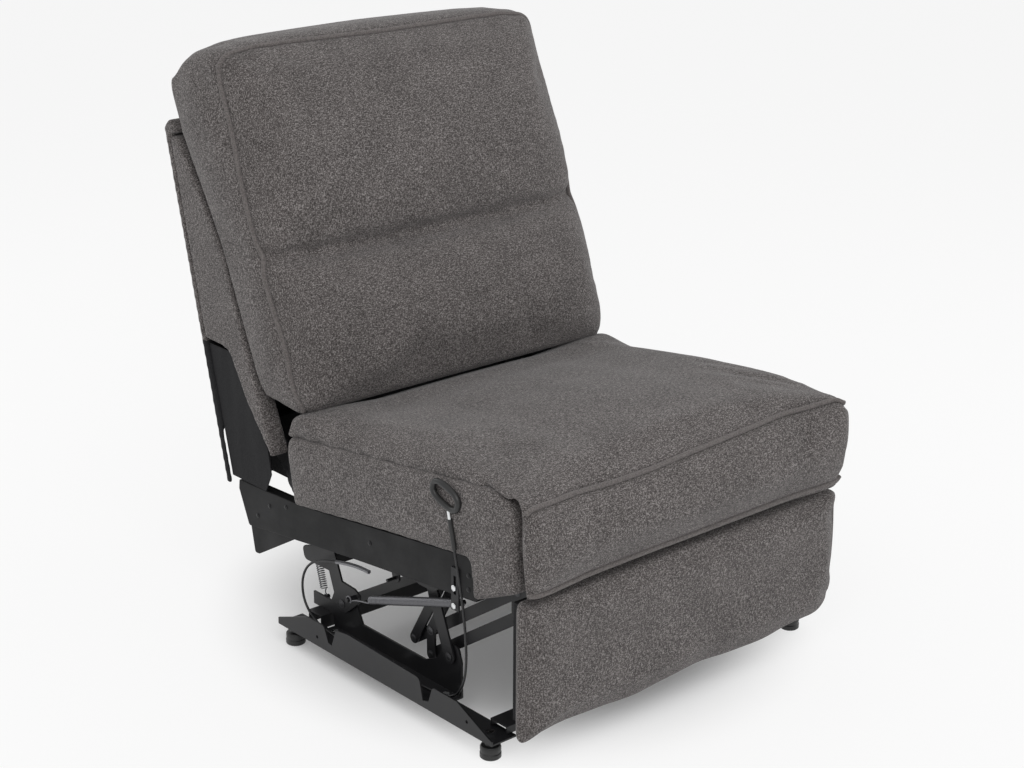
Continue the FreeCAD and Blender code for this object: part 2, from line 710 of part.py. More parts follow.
def back_section(x, rise, draw):
    """Closed outline of the back cushion at one x, with its two puffed fields and the seam between."""
    bulge = CUSHION_CROWN * rise
    gap = FIT * 2

    def p(y, z):
        return V(x, y, z)

    low_front = p(561 - 0.35 * bulge, 444 + draw)
    seam = p(662 - 0.7 * bulge, 698)
    top_front = p(788 - 0.3 * bulge, 1000 + 0.45 * bulge)
    low_mid = p(592 - 1.15 * bulge, 562)
    high_mid = p(708 - 1.2 * bulge, 866)
    low_rear = p(FRAME_FRONT[2][0] - gap - 4, FRAME_FRONT[2][1] + draw)
    waist = p(FRAME_FRONT[1][0] - gap, FRAME_FRONT[1][1])
    neck = p(FRAME_FRONT[0][0] - gap - 2, FRAME_FRONT[0][1] + 12)
    head = p(926 - draw, 930)
    crest = p(905 - draw, 958 + 0.3 * bulge)
    return Part.Wire([
        line(low_rear, p(608, 426 + draw)),
        arc(p(608, 426 + draw), p(572, 426 + draw), low_front),
        arc(low_front, low_mid, seam),
        arc(seam, high_mid, top_front),
        arc(top_front, p(838 - draw, 1002 + bulge), crest),
        arc(crest, p(924 - draw, 948), head),
        line(head, neck),
        line(neck, waist),
        line(waist, low_rear),
    ])


BACK_STATIONS = ((0.0, 1.0, 0.0), (0.3, 0.94, 0.0), (0.58, 0.79, 0.0), (0.8, 0.56, 0.0), (0.94, 0.27, 1.0),
                 (1.0, 0.0, 5.0))


def back_cushion():
    return across(BACK_STATIONS, BACK_WIDTH / 2 - CUSHION_INSET, back_section)


def back_bolt(side, point):
    return hexagon(V(side * LIFT_LAYER[1], *point), V(side, 0, 0), 8, 4)


WEBBING_Z = (470.0, 620.0, 740.0)
WEBBING_T = 1.5


def webbing(z):
    """Elastic strap across the front edges of the posts, behind the cushion."""
    rear = BACK_PANEL_T + FIT
    slope = (28 - 75) / (POST_TOP - POST_LOW)
    low, high = z - 25, z + 25
    near = [back_y(h, rear + 75 + slope * (h - POST_LOW)) for h in (low, high)]
    outline = [(near[0], low), (near[1], high), (near[1] - WEBBING_T, high), (near[0] - WEBBING_T, low)]
    return plate(1, (-POST_X[1], POST_X[1]), outline)


BRACKET_BOLTS = ((808.0, 470.0), (826.0, 456.0))

for name, side in SIDES.items():
    save("back_bracket_" + name, back_bracket(side))
    save("back_side_" + name, back_side(side))
save("back_covers", *[back_cover(side) for side in SIDES.values()])
save("back_links", *[back_link(side) for side in SIDES.values()])
save("outside_back", outside_back())
save("back_frame", *[back_post(side) for side in SIDES.values()], back_rail(POST_LOW, POST_LOW + 50),
     back_rail(540, 590), back_rail(POST_TOP - 50, POST_TOP))
save("back_bolts", *[back_bolt(side, point) for side in SIDES.values() for point in BRACKET_BOLTS])
save("back_webbing", *[webbing(z) for z in WEBBING_Z])
save("back_cushion", back_cushion())


# Springs and the release cable

def tangent_arc(start, heading, end):
    """Arc from start, leaving along heading, to end."""
    chord = end - start
    control = start + heading * (chord.Length ** 2 / (2 * chord.dot(heading)))
    cosine = (chord.Length / 2) / (control - start).Length
    middle = (start + end) * 0.5
    return arc(start, middle + (control - middle) * (cosine / (1 + cosine)), end)


def biarc(start, heading, end, arrival):
    """Two arcs that leave start along heading and reach end along arrival."""
    gap = end - start
    total = heading + arrival
    a = 2 * (1 - heading.dot(arrival))
    b = 2 * gap.dot(total)
    c = gap.dot(gap)
    reach = c / b if a < 1e-9 else (-b + math.sqrt(b * b + 4 * a * c)) / (2 * a)
    joint = (start + end + (heading - arrival) * reach) * 0.5
    first = tangent_arc(start, heading, joint)
    last = tangent_arc(end, arrival * -1, joint)
    return [first, last]


def coil_frame(start, end):
    axis = (end - start).normalize()
    across = V(1, 0, 0)
    return axis, across, axis.cross(across)


def spring(start, end, radius, wire_r, turns, lead):
    """Extension spring as one unbroken wire from start to end, with straight leads on its axis."""
    axis, across, upward = coil_frame(start, end)
    first, last = start + axis * lead, end - axis * lead
    length = (last - first).Length
    pitch = length / turns
    mean = radius - wire_r
    slant = pitch / (2 * math.pi * mean)

    def place(turn):
        angle = 2 * math.pi * turn
        return first + axis * (pitch * turn) + (across * math.cos(angle) + upward * math.sin(angle)) * mean

    def heading(turn):
        angle = 2 * math.pi * turn
        return (upward * math.cos(angle) - across * math.sin(angle) + axis * slant).normalize()

    ease = mean * 1.2
    enter, leave = first - axis * ease, last + axis * ease
    edges = [line(start, enter)] + biarc(enter, axis, place(0), heading(0))
    quarters = int(turns * 4)
    for i in range(quarters):
        t0, t1 = i / 4, (i + 1) / 4
        edges += biarc(place(t0), heading(t0), place(t1), heading(t1))
    edges += biarc(place(turns), heading(turns), leave, axis) + [line(leave, end)]
    path = Part.Wire(edges)
    section = ring_section(start, axis, wire_r, 4)
    print("spring of", turns, "turns, least gap", round(least_gap(path, wire_r), 2), "mm")
    return path.makePipeShell([section], True, False)


def least_gap(path, wire_r):
    """Least clear distance between stretches of one wire that lie over half a turn apart."""
    points = []
    for edge in path.OrderedEdges:
        points += edge.discretize(Number=5)[:-1]
    steps = 20
    nearest = min((points[i] - points[j]).Length
                  for i in range(len(points)) for j in range(i + steps, len(points)))
    return nearest - 2 * wire_r


def tube(points, radius, label):
    """Round tube through points, with each corner an arc as large as its two runs allow."""
    corners = [V(*point) for point in points]
    edges, here, radii = [], corners[0], []
    for i in range(1, len(corners) - 1):
        back, ahead = corners[i - 1] - corners[i], corners[i + 1] - corners[i]
        run = 0.45 * min(back.Length, ahead.Length)
        half = back.getAngle(ahead) / 2
        bend = run * math.tan(half)
        radii.append(round(bend, 1))
        back.normalize()
        ahead.normalize()
        first, last = corners[i] + back * run, corners[i] + ahead * run
        middle = corners[i] + (back + ahead).normalize() * (bend / math.sin(half) - bend)
        edges += [line(here, first), arc(first, middle, last)]
        here = last
    edges.append(line(here, corners[-1]))
    path = Part.Wire(edges)
    section = ring_section(corners[0], (corners[1] - corners[0]).normalize(), radius, 6)
    solid = path.makePipeShell([section], True, False)
    print(label, "radii", radii, "volume share", round(solid.Volume / (math.pi * radius ** 2 * path.Length), 4))
    return solid


def ring_section(centre, axis, radius, sides):
    """Polygon about an axis, with the area of a circle of this radius."""
    slice_angle = 2 * math.pi / sides
    corner_r = radius * math.sqrt(slice_angle / math.sin(slice_angle))
    arm = axis.cross(V(1, 0.2, 0.1)).normalize() * corner_r
    turn = FreeCAD.Rotation(axis, 360 / sides)
    corners = []
    for _ in range(sides):
        corners.append(centre + arm)
        arm = turn.multVec(arm)
    return Part.makePolygon(corners + [corners[0]])


def lift_spring(side):
    y0, z0 = SPRING_HANGER
    y1, z1 = LIFT_PEG
    along = V(0, y1 - y0, z1 - z0).normalize() * (PEG_R + FIT)
    x = side * SPRING_X
    return spring(V(x, y0, z0) + along, V(x, y1, z1) - along, SPRING_R, SPRING_WIRE_R, LIFT_TURNS, 34)


def base_spring(side):
    y0, z0 = ARM_PEG
    y1, z1 = BASE_PEG
    along = V(0, y1 - y0, z1 - z0).normalize() * (PEG_R + FIT)
    x = side * BASE_SPRING_X
    return spring(V(x, y0, z0) + along, V(x, y1, z1) - along, REAR_SPRING_R, SPRING_WIRE_R, BASE_TURNS, 16)


save("lift_springs", *[lift_spring(side) for side in SIDES.values()])
save("base_springs", *[base_spring(side) for side in SIDES.values()])

CABLE_X = -(SEAT_WIDTH / 2 + SLEEVE_R + FIT)
CABLE_INSET = 21.0
CHANNEL_CABLE_X = CABLE_INSET - CHANNEL_OUT
RING_CENTRE = (176.0, 422.0)
SLEEVE_TOP = (168.0, 386.0)
SLEEVE_END = (157.0, 338.0)
FERRULE_LENGTH = 14.0
CABLE_ROUTE = [
    (CABLE_X, *SLEEVE_END), (CABLE_X, 146.0, 290.0), (CABLE_X, 136.0, 240.0), (CABLE_X + 1, 131.0, 190.0),
    (CABLE_X + 4, 134.0, 142.0), (CABLE_X + 8, 147.0, 102.0), (CHANNEL_CABLE_X, 172.0, 72.0),
    (CHANNEL_CABLE_X + 2, 210.0, 60.0), (CHANNEL_CABLE_X + 1, 265.0, 57.0), (CHANNEL_CABLE_X, 325.0, 58.0),
    (CHANNEL_CABLE_X + 2, 385.0, 56.5), (CHANNEL_CABLE_X, 445.0, 57.0), (CHANNEL_CABLE_X + 1, 500.0, 56.5),
    (CHANNEL_CABLE_X + 3, 552.0, 62.0), (CHANNEL_CABLE_X + 6, 590.0, 83.0), (CHANNEL_CABLE_X + 10, 604.0, 118.0),
    (CHANNEL_CABLE_X + 14, 594.0, 152.0), (CHANNEL_CABLE_X + 18, 562.0, 174.0), (CHANNEL_CABLE_X + 20, 512.0, 186.0),
]
TUBE_ROUTE = [
    CABLE_ROUTE[-1], (CHANNEL_CABLE_X + 20, 480.0, 193.5), (CHANNEL_CABLE_X + 20, 450.0, 198.0),
    (CHANNEL_CABLE_X + 20, 420.0, 199.0),
]


def pull_ring():
    """Moulded D-shaped ring, hung beside the seat cushion."""
    y, z = RING_CENTRE
    outer = [(y - 31, z + 3, 11), (y + 27, z + 19, 11), (y + 31, z - 6, 11), (y - 26, z - 22, 11)]
    hole = [(y - 21, z, 5), (y + 19, z + 11, 5), (y + 21, z - 4, 5), (y - 18, z - 14, 5)]
    layer = (-CABLE_X - RING_R, -CABLE_X + RING_R)
    ring = plate(-1, layer, outer).cut(plate(-1, (layer[0] - 1, layer[1] + 1), hole))
    return ring


def pull_ferrule():
    """Metal end of the inner wire, crimped under the ring, and the wire down into the sleeve."""
    low, end = V(CABLE_X, *SLEEVE_TOP), V(CABLE_X, *SLEEVE_END)
    down = (end - low).normalize()
    top = low - down * (FERRULE_LENGTH + FIT)
    barrel = Part.makeCylinder(3.0, FERRULE_LENGTH, top, down)
    wire = Part.makeCylinder(WIRE_R, (end - top).Length - 6, top, down)
    return barrel.fuse(wire).removeSplitter()


def cable_sleeve():
    low, end = V(CABLE_X, *SLEEVE_TOP), V(CABLE_X, *SLEEVE_END)
    down = (end - low).normalize()
    outer = Part.makeCylinder(SLEEVE_R, (end - low).Length, low, down)
    return outer.cut(Part.makeCylinder(SLEEVE_BORE_R, (end - low).Length - 5, low, down))


def release_lever():
    """Latch lever on the seat plate, with the hook that the cable's wire pulls."""
    y, z = LEVER_PIVOT
    hook_y, hook_z = LEVER_HOOK
    solid = plate(-1, LIFT_LAYER, [
        (y - 13, z - 2, 9), (hook_y - 8, hook_z - 8, 6), (hook_y + 8, hook_z - 8, 6), (y + 13, z - 8, 9),
        (y + 13, z + 26, 9), (y - 30, z + 34, 6), (y - 32, z + 22, 6), (y - 10, z + 14, 9),
    ], [LEVER_PIVOT])
    peg = rod(-1, LEVER_HOOK, LIFT_LAYER[1], -(CHANNEL_CABLE_X + 20) + 4, 3)
    return solid.fuse(peg).removeSplitter()


save("release_cable", tube(CABLE_ROUTE, CABLE_R, "release cable"))
save("cable_end_tube", tube(TUBE_ROUTE, CABLE_R + 1.3, "cable end tube"))
save("cable_sleeve", cable_sleeve())
save("pull_ring", pull_ring())
save("pull_ferrule", pull_ferrule())
save("release_lever", release_lever())
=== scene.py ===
import math
from contextlib import contextmanager
from functools import partial

import bmesh
import bpy
from mathutils import Matrix, Vector
from mathutils.bvhtree import BVHTree
from mathutils.kdtree import KDTree


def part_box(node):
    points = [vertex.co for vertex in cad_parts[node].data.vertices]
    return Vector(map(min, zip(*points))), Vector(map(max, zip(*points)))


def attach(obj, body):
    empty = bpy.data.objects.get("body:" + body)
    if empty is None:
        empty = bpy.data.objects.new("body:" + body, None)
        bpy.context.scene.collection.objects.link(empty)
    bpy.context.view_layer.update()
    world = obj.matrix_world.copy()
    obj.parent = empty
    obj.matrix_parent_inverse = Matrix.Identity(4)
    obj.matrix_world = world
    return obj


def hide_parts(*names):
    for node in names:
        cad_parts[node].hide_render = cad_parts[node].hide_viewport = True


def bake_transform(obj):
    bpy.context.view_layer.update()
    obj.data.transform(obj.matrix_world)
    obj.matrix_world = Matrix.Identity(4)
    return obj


bl_info = {
    "name": "Armless Recliner",
    "version": (1, 0, 0),
    "blender": (4, 5, 0),
    "location": "3D Viewport > Sidebar > Recliner",
    "description": "Upholsters and finishes the armless recliner on its packed frame",
    "category": "Add Mesh",
}

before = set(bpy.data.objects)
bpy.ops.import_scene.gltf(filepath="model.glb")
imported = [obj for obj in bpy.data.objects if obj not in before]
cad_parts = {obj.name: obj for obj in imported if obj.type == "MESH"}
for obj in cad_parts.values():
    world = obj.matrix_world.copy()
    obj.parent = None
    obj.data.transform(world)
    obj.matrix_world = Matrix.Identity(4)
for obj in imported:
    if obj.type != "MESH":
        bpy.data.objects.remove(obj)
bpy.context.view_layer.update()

# Places below are typed in the part's own millimetres: y = 0 is the front face of the footrest
# panel, y grows to the rear, x = 0 is the middle and the sitter's right is -x.
DEPTH_MID = 468.58
SIDES = (-1, 1)
SIDE_NAMES = {-1: "right", 1: "left"}

# Pivots as (y, z), with the body whose plate carries the stud and where the stud ends
LIFT_REAR, LIFT_FRONT = (520, 100), (230, 110)
SEAT_REAR, SEAT_FRONT = (570, 225), (280, 235)
DRIVE, GUIDE = (195, 300), (240, 270)
KNEE, LOWER_KNEE, GUIDE_KNEE = (295, 128), (295, 84), (340, 98)
TOE, LOWER_TOE = (80, 275), (80, 231)
BACK_PIVOT, BACK_ARM, LIFT_HORN = (638, 305), (645.7, 274), (577.7, 251.9)
SPRING_HANGER, LIFT_PEG = (176, 231), (478, 128)
ARM_PEG, BASE_PEG = (622, 163), (598, 78)
SPRING_X, BASE_SPRING_X = 338, 300
FOOT_X, FOOT_Y = 354.6, (86.9, 615.7)
PEG_R = 4


def at(x, y, z):
    """A place of the part, in metres and in the frame."""
    return Vector((x, y - DEPTH_MID, z)) / 1000


# Sizes and colours that a user would change

def colour(name, default, description):
    return bpy.props.FloatVectorProperty(
        name=name, subtype="COLOR", size=3, min=0, max=1, default=default, description=description)


def length(name, default, description):
    return bpy.props.FloatProperty(name=name, default=default, unit="LENGTH", min=0, description=description)


def whole(name, default, low, description):
    return bpy.props.IntProperty(name=name, default=default, min=low, description=description)


def strength(name, default, description):
    return bpy.props.FloatProperty(name=name, default=default, min=0, description=description)


class RECLINER_PG_fabric(bpy.types.PropertyGroup):
    yarn: colour("Yarn", (0.100, 0.089, 0.086), "Main colour of the chenille")
    light_fleck: colour("Light fleck", (0.275, 0.256, 0.25), "Colour of the raised slubs")
    dark_fleck: colour("Dark fleck", (0.035, 0.031, 0.030), "Colour between the slubs")
    slub: length("Slub length", 0.0048, "Length of one raised slub")
    welt_radius: length("Welt radius", 0.0042, "Radius of the piping along the seams")
    # This black also colours the frame's boards in the gaps, as painted shade
    cloth_and_shade_black: colour("Black cloth", (0.012, 0.012, 0.013), "Colour of the dust cloth on the back's sides")


class RECLINER_PG_hardware(bpy.types.PropertyGroup):
    enamel: colour("Enamel", (0.0075, 0.0075, 0.0085), "Colour of the mechanism's paint")
    board: colour("Board", (0.0055, 0.0055, 0.006), "Colour of the painted side rails")
    steel: colour("Spring steel", (0.86, 0.86, 0.87), "Colour of the plated springs")
    rivet_radius: length("Rivet radius", 0.0078, "Radius of the rivet heads at the pivots")
    bevel: length("Plate bevel", 0.0007, "Rounding of the edges of plates and rails")
    lift_turns: whole("Lift spring turns", 62, 8, "Turns of each lift spring")
    base_turns: whole("Rear spring turns", 15, 4, "Turns of each rear spring")


class RECLINER_PG_stage(bpy.types.PropertyGroup):
    floor: colour("Floor", (0.93, 0.93, 0.93), "Colour of the studio floor")
    key: strength("Key light", 46, "Power of the main soft light")
    fill: strength("Fill light", 20, "Power of the light from the side")
    sky: strength("Room light", 0.62, "Strength of the light all round")


# Materials

SURFACE = {"metallic": "Metallic", "sheen": "Sheen Weight", "sheen_rough": "Sheen Roughness",
           "specular": "Specular IOR Level"}


def wired(tree, kind, inputs, out=0, **settings):
    """One output of a new node, after its settings are made and its inputs are linked or given values."""
    node = tree.nodes.new(kind)
    for name, value in settings.items():
        setattr(node, name, value)
    for socket, source in inputs.items():
        for entry in source if isinstance(source, list) else [source]:
            if isinstance(entry, bpy.types.NodeSocket):
                tree.links.new(entry, node.inputs[socket])
            else:
                node.inputs[socket].default_value = entry
    return node.outputs[out]


class Finish:
    """A new material and short ways to wire its nodes."""

    def __init__(self, name, rough, **surface):
        self.material = bpy.data.materials.new(name)
        self.material.use_nodes = True
        self.shader = self.material.node_tree.nodes["Principled BSDF"]
        self.shader.inputs["Roughness"].default_value = rough
        for socket, value in surface.items():
            self.shader.inputs[SURFACE[socket]].default_value = value
        self.place = self.node("ShaderNodeTexCoord", {}, "Object")

    def node(self, kind, inputs, out=0, **settings):
        return wired(self.material.node_tree, kind, inputs, out, **settings)

    def stretched(self, scale):
        return self.node("ShaderNodeMapping", {"Vector": self.place, "Scale": scale})

    def noise(self, scale, detail=2.0, vector=None, rough=0.5):
        return self.node("ShaderNodeTexNoise", {
            "Vector": vector or self.place, "Scale": scale, "Detail": detail, "Roughness": rough}, "Fac")

    def math(self, operation, a, b=0.0, c=0.0):
        return self.node("ShaderNodeMath", {0: a, 1: b, 2: c}, operation=operation)

    def remap(self, value, low, high, new_low=0.0, new_high=1.0):
        return self.node("ShaderNodeMapRange", dict(enumerate((value, low, high, new_low, new_high))))

    def mix(self, share, a, b):
        a, b = ((*tone, 1.0) if isinstance(tone, tuple) else tone for tone in (a, b))
        return self.node("ShaderNodeMix", {0: share, 6: a, 7: b}, 2, data_type="RGBA")

    def mottled(self, noise, low, high, most, a, b):
        """Tone a, mixed with b by up to most where the noise goes from low to high."""
        return self.mix(self.remap(noise, low, high, 0.0, most), a, b)

    def bump(self, height, strength, distance, under=None):
        inputs = {"Strength": strength, "Distance": distance, "Height": height}
        if under is not None:
            inputs["Normal"] = under
        return self.node("ShaderNodeBump", inputs)

    def finish(self, base, normal, rough=None):
        given = {"Base Color": base, "Normal": normal, "Roughness": rough}
        for socket, source in given.items():
            if source is not None:
                self.material.node_tree.links.new(source, self.shader.inputs[socket])
        return self.material


def once(build):
    """Keep the material that build makes, so that pieces share it."""
    def fetch():
        if build.__name__ not in bpy.data.materials:
            build().name = build.__name__
        return bpy.data.materials[build.__name__]
    return fetch


def slubs(finish, size):
    """Short raised yarns that lie along x, y and z, each shown on the faces where it runs in the surface."""
    normal = finish.node("ShaderNodeTexCoord", {}, "Normal")
    total = weights = None
    for axis in range(3):
        scale = [3.1, 3.1, 3.1]
        scale[axis] = 1.0
        yarn = finish.noise(1 / size, 1.5, finish.stretched(tuple(scale)), 0.6)
        facing = finish.node("ShaderNodeSeparateXYZ", {0: normal}, axis)
        weight = finish.math("SUBTRACT", 1.02, finish.math("MULTIPLY", facing, facing))
        share = finish.math("MULTIPLY", yarn, weight)
        total = share if axis == 0 else finish.math("ADD", total, share)
        weights = weight if axis == 0 else finish.math("ADD", weights, weight)
    return finish.math("DIVIDE", total, weights)


@once
def chenille():
    """Grey heathered chenille: light slubs on a dark ground, with soft large patches."""
    look = bpy.context.scene.recliner_fabric
    finish = Finish("chenille", 0.92, sheen=0.18, sheen_rough=0.5, specular=0.22)
    fine = finish.noise(1 / (look.slub * 0.34), 1.0)
    yarn = finish.math("MULTIPLY", slubs(finish, look.slub), 0.66)
    weave = finish.math("MULTIPLY_ADD", fine, 0.34, yarn)
    tone = finish.mottled(weave, 0.505, 0.60, 1.0, tuple(look.yarn), tuple(look.light_fleck))
    tone = finish.mottled(weave, 0.50, 0.405, 1.0, tone, tuple(look.dark_fleck))
    patches = finish.noise(14, 3.0)
    shade = finish.remap(patches, 0.3, 0.7, 0.90, 1.09)
    tone = finish.node("ShaderNodeHueSaturation", {"Color": tone, "Value": shade})
    height = finish.math("MULTIPLY_ADD", weave, 1.0, finish.math("MULTIPLY", patches, 0.08))
    return finish.finish(tone, finish.bump(height, 0.8, 0.0016))


@once
def piping():
    """Bias-cut strip of the same cloth, stretched smooth over the welt cord."""
    look = bpy.context.scene.recliner_fabric
    finish = Finish("piping", 0.9, sheen=0.15, specular=0.22)
    yarn = finish.noise(1 / (look.slub * 0.5))
    tone = finish.mottled(yarn, 0.4, 0.6, 1.0, tuple(look.yarn), (0.165, 0.150, 0.145))
    return finish.finish(tone, finish.bump(yarn, 0.5, 0.0008))


@once
def dust_cloth_and_shade():
    """Black spunbonded cloth with a fine pressed pattern and slack folds. On the frame's boards the same
    black is painted shade for the gaps where they show.
    """
    black = tuple(bpy.context.scene.recliner_fabric.cloth_and_shade_black)
    finish = Finish("dust_cloth_and_shade", 0.85, specular=0.3)
    dots = finish.noise(900, 1.0)
    folds = finish.noise(9, 2.0, finish.stretched((1.0, 1.6, 0.5)))
    tone = finish.mottled(dots, 0.4, 0.65, 1.0, black, (0.026, 0.026, 0.028))
    return finish.finish(tone, finish.bump(dots, 0.3, 0.0006, finish.bump(folds, 0.9, 0.012)))


@once
def enamel():
    """Satin black paint on pressed steel, scuffed to grey in small places."""
    black = tuple(bpy.context.scene.recliner_hardware.enamel)
    finish = Finish("enamel", 0.42, specular=0.4)
    dust = finish.noise(6, 5.0, rough=0.6)
    scuff = finish.remap(finish.noise(60, 6.0, finish.stretched((1, 0.25, 1)), 0.7), 0.66, 0.74)
    tone = finish.mottled(dust, 0.35, 0.75, 0.55, black, (0.018, 0.018, 0.02))
    tone = finish.mix(finish.math("MULTIPLY", scuff, 0.35), tone, (0.07, 0.07, 0.074))
    peel = finish.bump(finish.noise(420), 0.12, 0.0004)
    return finish.finish(tone, peel, finish.remap(dust, 0.3, 0.7, 0.34, 0.52))


@once
def painted_board():
    """Side rail of laminated board under thin black paint, with faint grain and handling marks."""
    black = tuple(bpy.context.scene.recliner_hardware.board)
    finish = Finish("painted_board", 0.6, specular=0.3)
    grain = finish.noise(38, 4.0, finish.stretched((1.0, 0.06, 1.0)), 0.65)
    marks = finish.noise(11, 5.0, rough=0.65)
    tone = finish.mottled(grain, 0.35, 0.7, 0.5, black, (0.011, 0.011, 0.012))
    tone = finish.mottled(marks, 0.62, 0.74, 0.4, tone, (0.026, 0.026, 0.028))
    height = finish.math("MULTIPLY_ADD", grain, 0.7, finish.math("MULTIPLY", finish.noise(500, 1.0), 0.25))
    return finish.finish(tone, finish.bump(height, 0.35, 0.0006), finish.remap(marks, 0.3, 0.7, 0.5, 0.7))


def metal(name, tone, rough, metallic=1.0):
    finish = Finish(name, rough, metallic=metallic)
    haze = finish.noise(25, 3.0)
    base = finish.mottled(haze, 0.35, 0.7, 0.4, tone, tuple(0.7 * value for value in tone))
    brushed = finish.bump(finish.noise(700), 0.08, 0.0003)
    return finish.finish(base, brushed, finish.remap(haze, 0.3, 0.7, rough - 0.07, rough + 0.1))


@once
def spring_steel():
    """Bright plated wire of the springs."""
    return metal("spring_steel", tuple(bpy.context.scene.recliner_hardware.steel), 0.34, 0.6)


@once
def zinc_plate():
    """Dull zinc on screws, ferrules and nuts."""
    return metal("zinc_plate", (0.42, 0.42, 0.43), 0.42)


@once
def dark_steel():
    """Rivets and deck springs, blackened like the plates that they hold."""
    return metal("dark_steel", (0.10, 0.10, 0.105), 0.45)


@once
def black_plastic():
    """Moulded black plastic with a fine grained skin."""
    finish = Finish("black_plastic", 0.42)
    wear = finish.noise(40, 4.0)
    tone = finish.mottled(wear, 0.45, 0.75, 0.6, (0.012, 0.012, 0.013), (0.024, 0.024, 0.026))
    skin = finish.bump(finish.noise(1300, 1.0), 0.2, 0.0003)
    return finish.finish(tone, skin, finish.remap(wear, 0.3, 0.7, 0.36, 0.52))


@once
def cable_jacket():
    """Smooth extruded jacket of the release cable."""
    finish = Finish("cable_jacket", 0.38)
    haze = finish.noise(120, 3.0)
    tone = finish.mottled(haze, 0.4, 0.7, 0.5, (0.009, 0.009, 0.01), (0.018, 0.018, 0.019))
    return finish.finish(tone, finish.bump(haze, 0.06, 0.0003))


@once
def strap():
    """Elastic webbing: pale and dark ribs across its width."""
    finish = Finish("strap", 0.85)
    ribs = finish.node("ShaderNodeTexWave", {"Vector": finish.place, "Scale": 190}, "Fac")
    tone = finish.mix(ribs, (0.05, 0.05, 0.052), (0.09, 0.09, 0.092))
    return finish.finish(tone, finish.bump(ribs, 0.4, 0.0005))


# Mesh helpers

def painted(piece, material):
    piece.data.materials.clear()
    piece.data.materials.append(material)


def new_piece(name, mesh, material, body):
    """Put a finished mesh in the scene as a piece of a body, or of none yet."""
    piece = placed(name, mesh)
    painted(piece, material)
    if body:
        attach(piece, body)
    return piece


def placed(name, data):
    holder = bpy.data.objects.new(name, data)
    bpy.context.collection.objects.link(holder)
    return holder


def evaluated(holder):
    """The plain mesh that an object comes out as. The object itself goes."""
    result = bpy.data.meshes.new_from_object(holder.evaluated_get(bpy.context.evaluated_depsgraph_get()))
    bpy.data.objects.remove(holder)
    return result


@contextmanager
def edited(mesh):
    """A mesh opened for editing and written back."""
    edit = bmesh.new()
    edit.from_mesh(mesh)
    yield edit
    edit.to_mesh(mesh)
    edit.free()


def node_mesh(node, name):
    """A merged copy of a CAD node's mesh."""
    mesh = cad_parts[node].data.copy()
    mesh.name = name
    with edited(mesh) as edit:
        bmesh.ops.remove_doubles(edit, verts=edit.verts, dist=2e-5)
        bmesh.ops.recalc_face_normals(edit, faces=edit.faces)
    return mesh


def join_meshes(name, meshes):
    joined = bpy.data.meshes.new(name)
    with edited(joined) as edit:
        for mesh in meshes:
            edit.from_mesh(mesh)
    return joined


def crisp(mesh, angle):
    """Shade smooth, but keep edges sharper than an angle in degrees."""
    mesh.shade_smooth()
    mesh.set_sharp_from_angle(angle=math.radians(angle))


def remeshed(mesh, voxel):
    """The same closed form as even quads."""
    holder = placed("remesh", mesh)
    modifier = holder.modifiers.new("Remesh", "REMESH")
    modifier.mode = "VOXEL"
    modifier.voxel_size = voxel
    return evaluated(holder)


def relaxed(mesh, passes):
    """Soften corners by moving each vertex towards its neighbours."""
    with edited(mesh) as edit:
        for _ in range(passes):
            bmesh.ops.smooth_vert(
                edit, verts=edit.verts, factor=0.5, use_axis_x=True, use_axis_y=True, use_axis_z=True)


def shrunk(mesh, amount):
    """Draw a closed form inwards along its normals."""
    moves = [vertex.normal * -amount for vertex in mesh.vertices]
    for vertex, move in zip(mesh.vertices, moves):
        vertex.co += move


def ease(low, high, value):
    """0 below low, 1 above high and smooth between."""
    share = min(1.0, max(0.0, (value - low) / (high - low)))
    return share * share * (3 - 2 * share)


def between(table, value):
    """The row of a table for a value, from the rows on either side of it."""
    for (a, *low), (b, *high) in zip(table, table[1:]):
        if value <= b:
            share = min(1.0, max(0.0, (value - a) / (b - a)))
            return [x + (y - x) * share for x, y in zip(low, high)]
    return table[-1][1:]


def part_place(vertex):
    """A vertex's place in millimetres of the part."""
    return vertex.co * 1000 + Vector((0, DEPTH_MID, 0))


def moulded(mesh, move):
    """Shift each vertex by what move says for its place, in millimetres of the part."""
    for vertex in mesh.vertices:
        vertex.co += Vector(move(part_place(vertex))) / 1000


def inflate(mesh, held, pressure, cap):
    """Swell a cover over its filling with a short cloth simulation, moving no point further than cap."""
    holder = placed("cover", mesh)
    still = [vertex.index for vertex in mesh.vertices if held(part_place(vertex), vertex.normal)]
    holder.vertex_groups.new(name="held").add(still, 1.0, "REPLACE")
    settings = holder.modifiers.new("Cover", "CLOTH").settings
    settings.quality = 4
    settings.mass = 0.3
    settings.tension_stiffness = settings.compression_stiffness = 18
    settings.bending_stiffness = 0.8
    settings.use_pressure = True
    settings.uniform_pressure_force = pressure
    settings.vertex_group_mass = "held"
    settings.effector_weights.gravity = 0
    scene = bpy.context.scene
    for step in range(1, 21):
        scene.frame_set(step)
    swollen = holder.evaluated_get(bpy.context.evaluated_depsgraph_get()).data
    moves = [new.co - old.co for new, old in zip(swollen.vertices, mesh.vertices)]
    for vertex, move in zip(mesh.vertices, moves):
        if move.length > cap:
            move = move * (cap / move.length)
        vertex.co += move
    scene.frame_set(1)
    bpy.data.objects.remove(holder)


